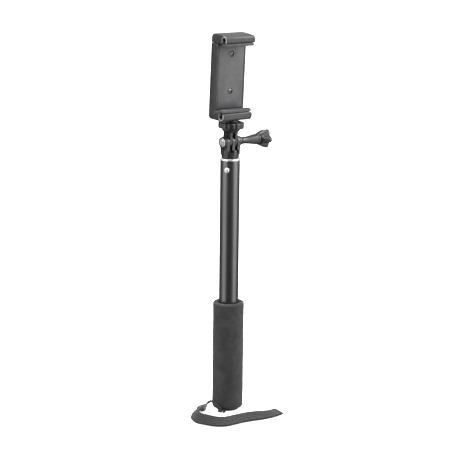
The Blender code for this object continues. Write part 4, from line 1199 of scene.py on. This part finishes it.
class STICK_OT_stage(Build, bpy.types.Operator):
    """Set the pale floor, the studio surround and the lamps"""
    bl_idname = "stick.stage"
    bl_label = "Stage"

    def execute(self, context):
        shape = bmesh.new()
        bmesh.ops.create_grid(shape, x_segments=1, y_segments=1, size=6.0)
        floor = new_object("floor", shape)
        # Matt white paper, lit from below as well, so that it stays clean white under the stick.
        made, tree, shader = new_material("white_paper", Roughness=0.9)
        shader.inputs["Base Color"].default_value = linear("f4f4f4")
        shader.inputs["Emission Color"].default_value = (1, 1, 1, 1)
        shader.inputs["Emission Strength"].default_value = 0.9
        floor.data.materials.append(made)
        floor.visible_diffuse = False
        floor.visible_glossy = False
        self.surround(context)
        self.lamp(context, "key_lamp", (0.75, -0.45, 0.75), (0.5, 0.7), 8.5)
        self.lamp(context, "top_lamp", (-0.1, 0.1, 1.1), (0.5, 0.5), 11.0)
        context.scene.view_settings.view_transform = "Standard"
        return {"FINISHED"}

    def surround(self, context):
        """White all round for the camera. The object itself sees a dark room with a panel on each side."""
        world = bpy.data.worlds.new("studio")
        context.scene.world = world
        world.use_nodes = True
        tree = world.node_tree
        for old in list(tree.nodes):
            tree.nodes.remove(old)
        front = math.radians(38)
        way = node(tree, "TexCoord").outputs["Generated"]
        ahead = node(tree, "VectorMath", {0: way, 1: (-math.sin(front), -math.cos(front), 0)},
                     operation="DOT_PRODUCT")
        across = node(tree, "VectorMath", {0: way, 1: (math.cos(front), -math.sin(front), 0)},
                      operation="DOT_PRODUCT")
        round_it = node(tree, "Math", {0: across.outputs["Value"], 1: ahead.outputs["Value"]},
                        operation="ARCTAN2")
        share = node(tree, "Math", {0: round_it.outputs[0], 1: 1 / (2 * math.pi), 2: 0.5},
                     operation="MULTIPLY_ADD").outputs[0]

        def stop(degrees, level):
            return (degrees / 360 + 0.5, (level / 4, level / 4, level / 4, 1))

        panels = ramp(
            tree, share, stop(-180, 0.5), stop(-125, 0.2), stop(-98, 0.15), stop(-88, 1.4), stop(-68, 3.2),
            stop(-45, 3.2),
            stop(-34, 0.6), stop(-15, 0.12), stop(15, 0.12), stop(42, 0.5), stop(56, 3.6), stop(84, 3.6),
            stop(98, 0.8),
            stop(107, 0.2), stop(140, 0.15), stop(180, 0.5))
        height = node(tree, "SeparateXYZ", {"Vector": way}).outputs["Z"]
        lift = node(tree, "MapRange", {"Value": height, "From Min": -0.6, "From Max": 0.5, "To Min": 0.45,
                                       "To Max": 1.1}).outputs["Result"]
        level = node(tree, "Math", {0: panels, 1: lift}, operation="MULTIPLY").outputs[0]
        level = node(tree, "Math", {0: level, 1: 4.0}, operation="MULTIPLY").outputs[0]
        room = node(tree, "Background", {"Color": (1, 1, 1, 1), "Strength": level}).outputs[0]
        white = node(tree, "Background", {"Color": (1, 1, 1, 1), "Strength": 1.0}).outputs[0]
        seen = node(tree, "LightPath").outputs["Is Camera Ray"]
        mixed = node(tree, "MixShader", {0: seen, 1: room, 2: white}).outputs[0]
        node(tree, "OutputWorld", {"Surface": mixed})

    def lamp(self, context, name, place, size, power):
        data = bpy.data.lights.new(name, "AREA")
        data.shape = "RECTANGLE"
        data.size, data.size_y = size
        data.energy = power
        lamp = bpy.data.objects.new(name, data)
        lamp.location = place
        aim = Vector((0, 0, 0.25)) - Vector(place)
        lamp.rotation_euler = aim.to_track_quat("-Z", "Y").to_euler()
        context.scene.collection.objects.link(lamp)


class STICK_PT_panel(bpy.types.Panel):
    """Lists the settings and the build steps"""
    bl_idname = "STICK_PT_panel"
    bl_label = "Phone Stick"
    bl_space_type = "VIEW_3D"
    bl_region_type = "UI"
    bl_category = "Phone Stick"

    def draw(self, context):
        for group in SETTINGS:
            settings = getattr(context.scene, group)
            box = self.layout.box()
            for name in type(settings).__annotations__:
                box.prop(settings, name)
        for step in STEPS:
            self.layout.operator(step.bl_idname)


SETTINGS = {
    "stick_pole": PoleSettings, "stick_head": HeadSettings, "stick_clamp": ClampSettings,
    "stick_strap": StrapSettings,
}
STEPS = (
    STICK_OT_camera, STICK_OT_strap, STICK_OT_pole, STICK_OT_grip, STICK_OT_end_cap, STICK_OT_stages,
    STICK_OT_head_base, STICK_OT_thumb_screw, STICK_OT_adapter, STICK_OT_lock_wheel, STICK_OT_clamp_body,
    STICK_OT_face_plate, STICK_OT_upper_jaw, STICK_OT_pads, STICK_OT_springs, STICK_OT_stage,
)


def register():
    for item in (*SETTINGS.values(), *STEPS, STICK_PT_panel):
        bpy.utils.register_class(item)
    for name, group in SETTINGS.items():
        setattr(bpy.types.Scene, name, bpy.props.PointerProperty(type=group))


def unregister():
    for name in SETTINGS:
        delattr(bpy.types.Scene, name)
    for item in reversed((*SETTINGS.values(), *STEPS, STICK_PT_panel)):
        bpy.utils.unregister_class(item)


def main():
    register()
    for step in STEPS:
        area, name = step.bl_idname.split(".")
        getattr(getattr(bpy.ops, area), name)()


if __name__ == "__main__":
    main()
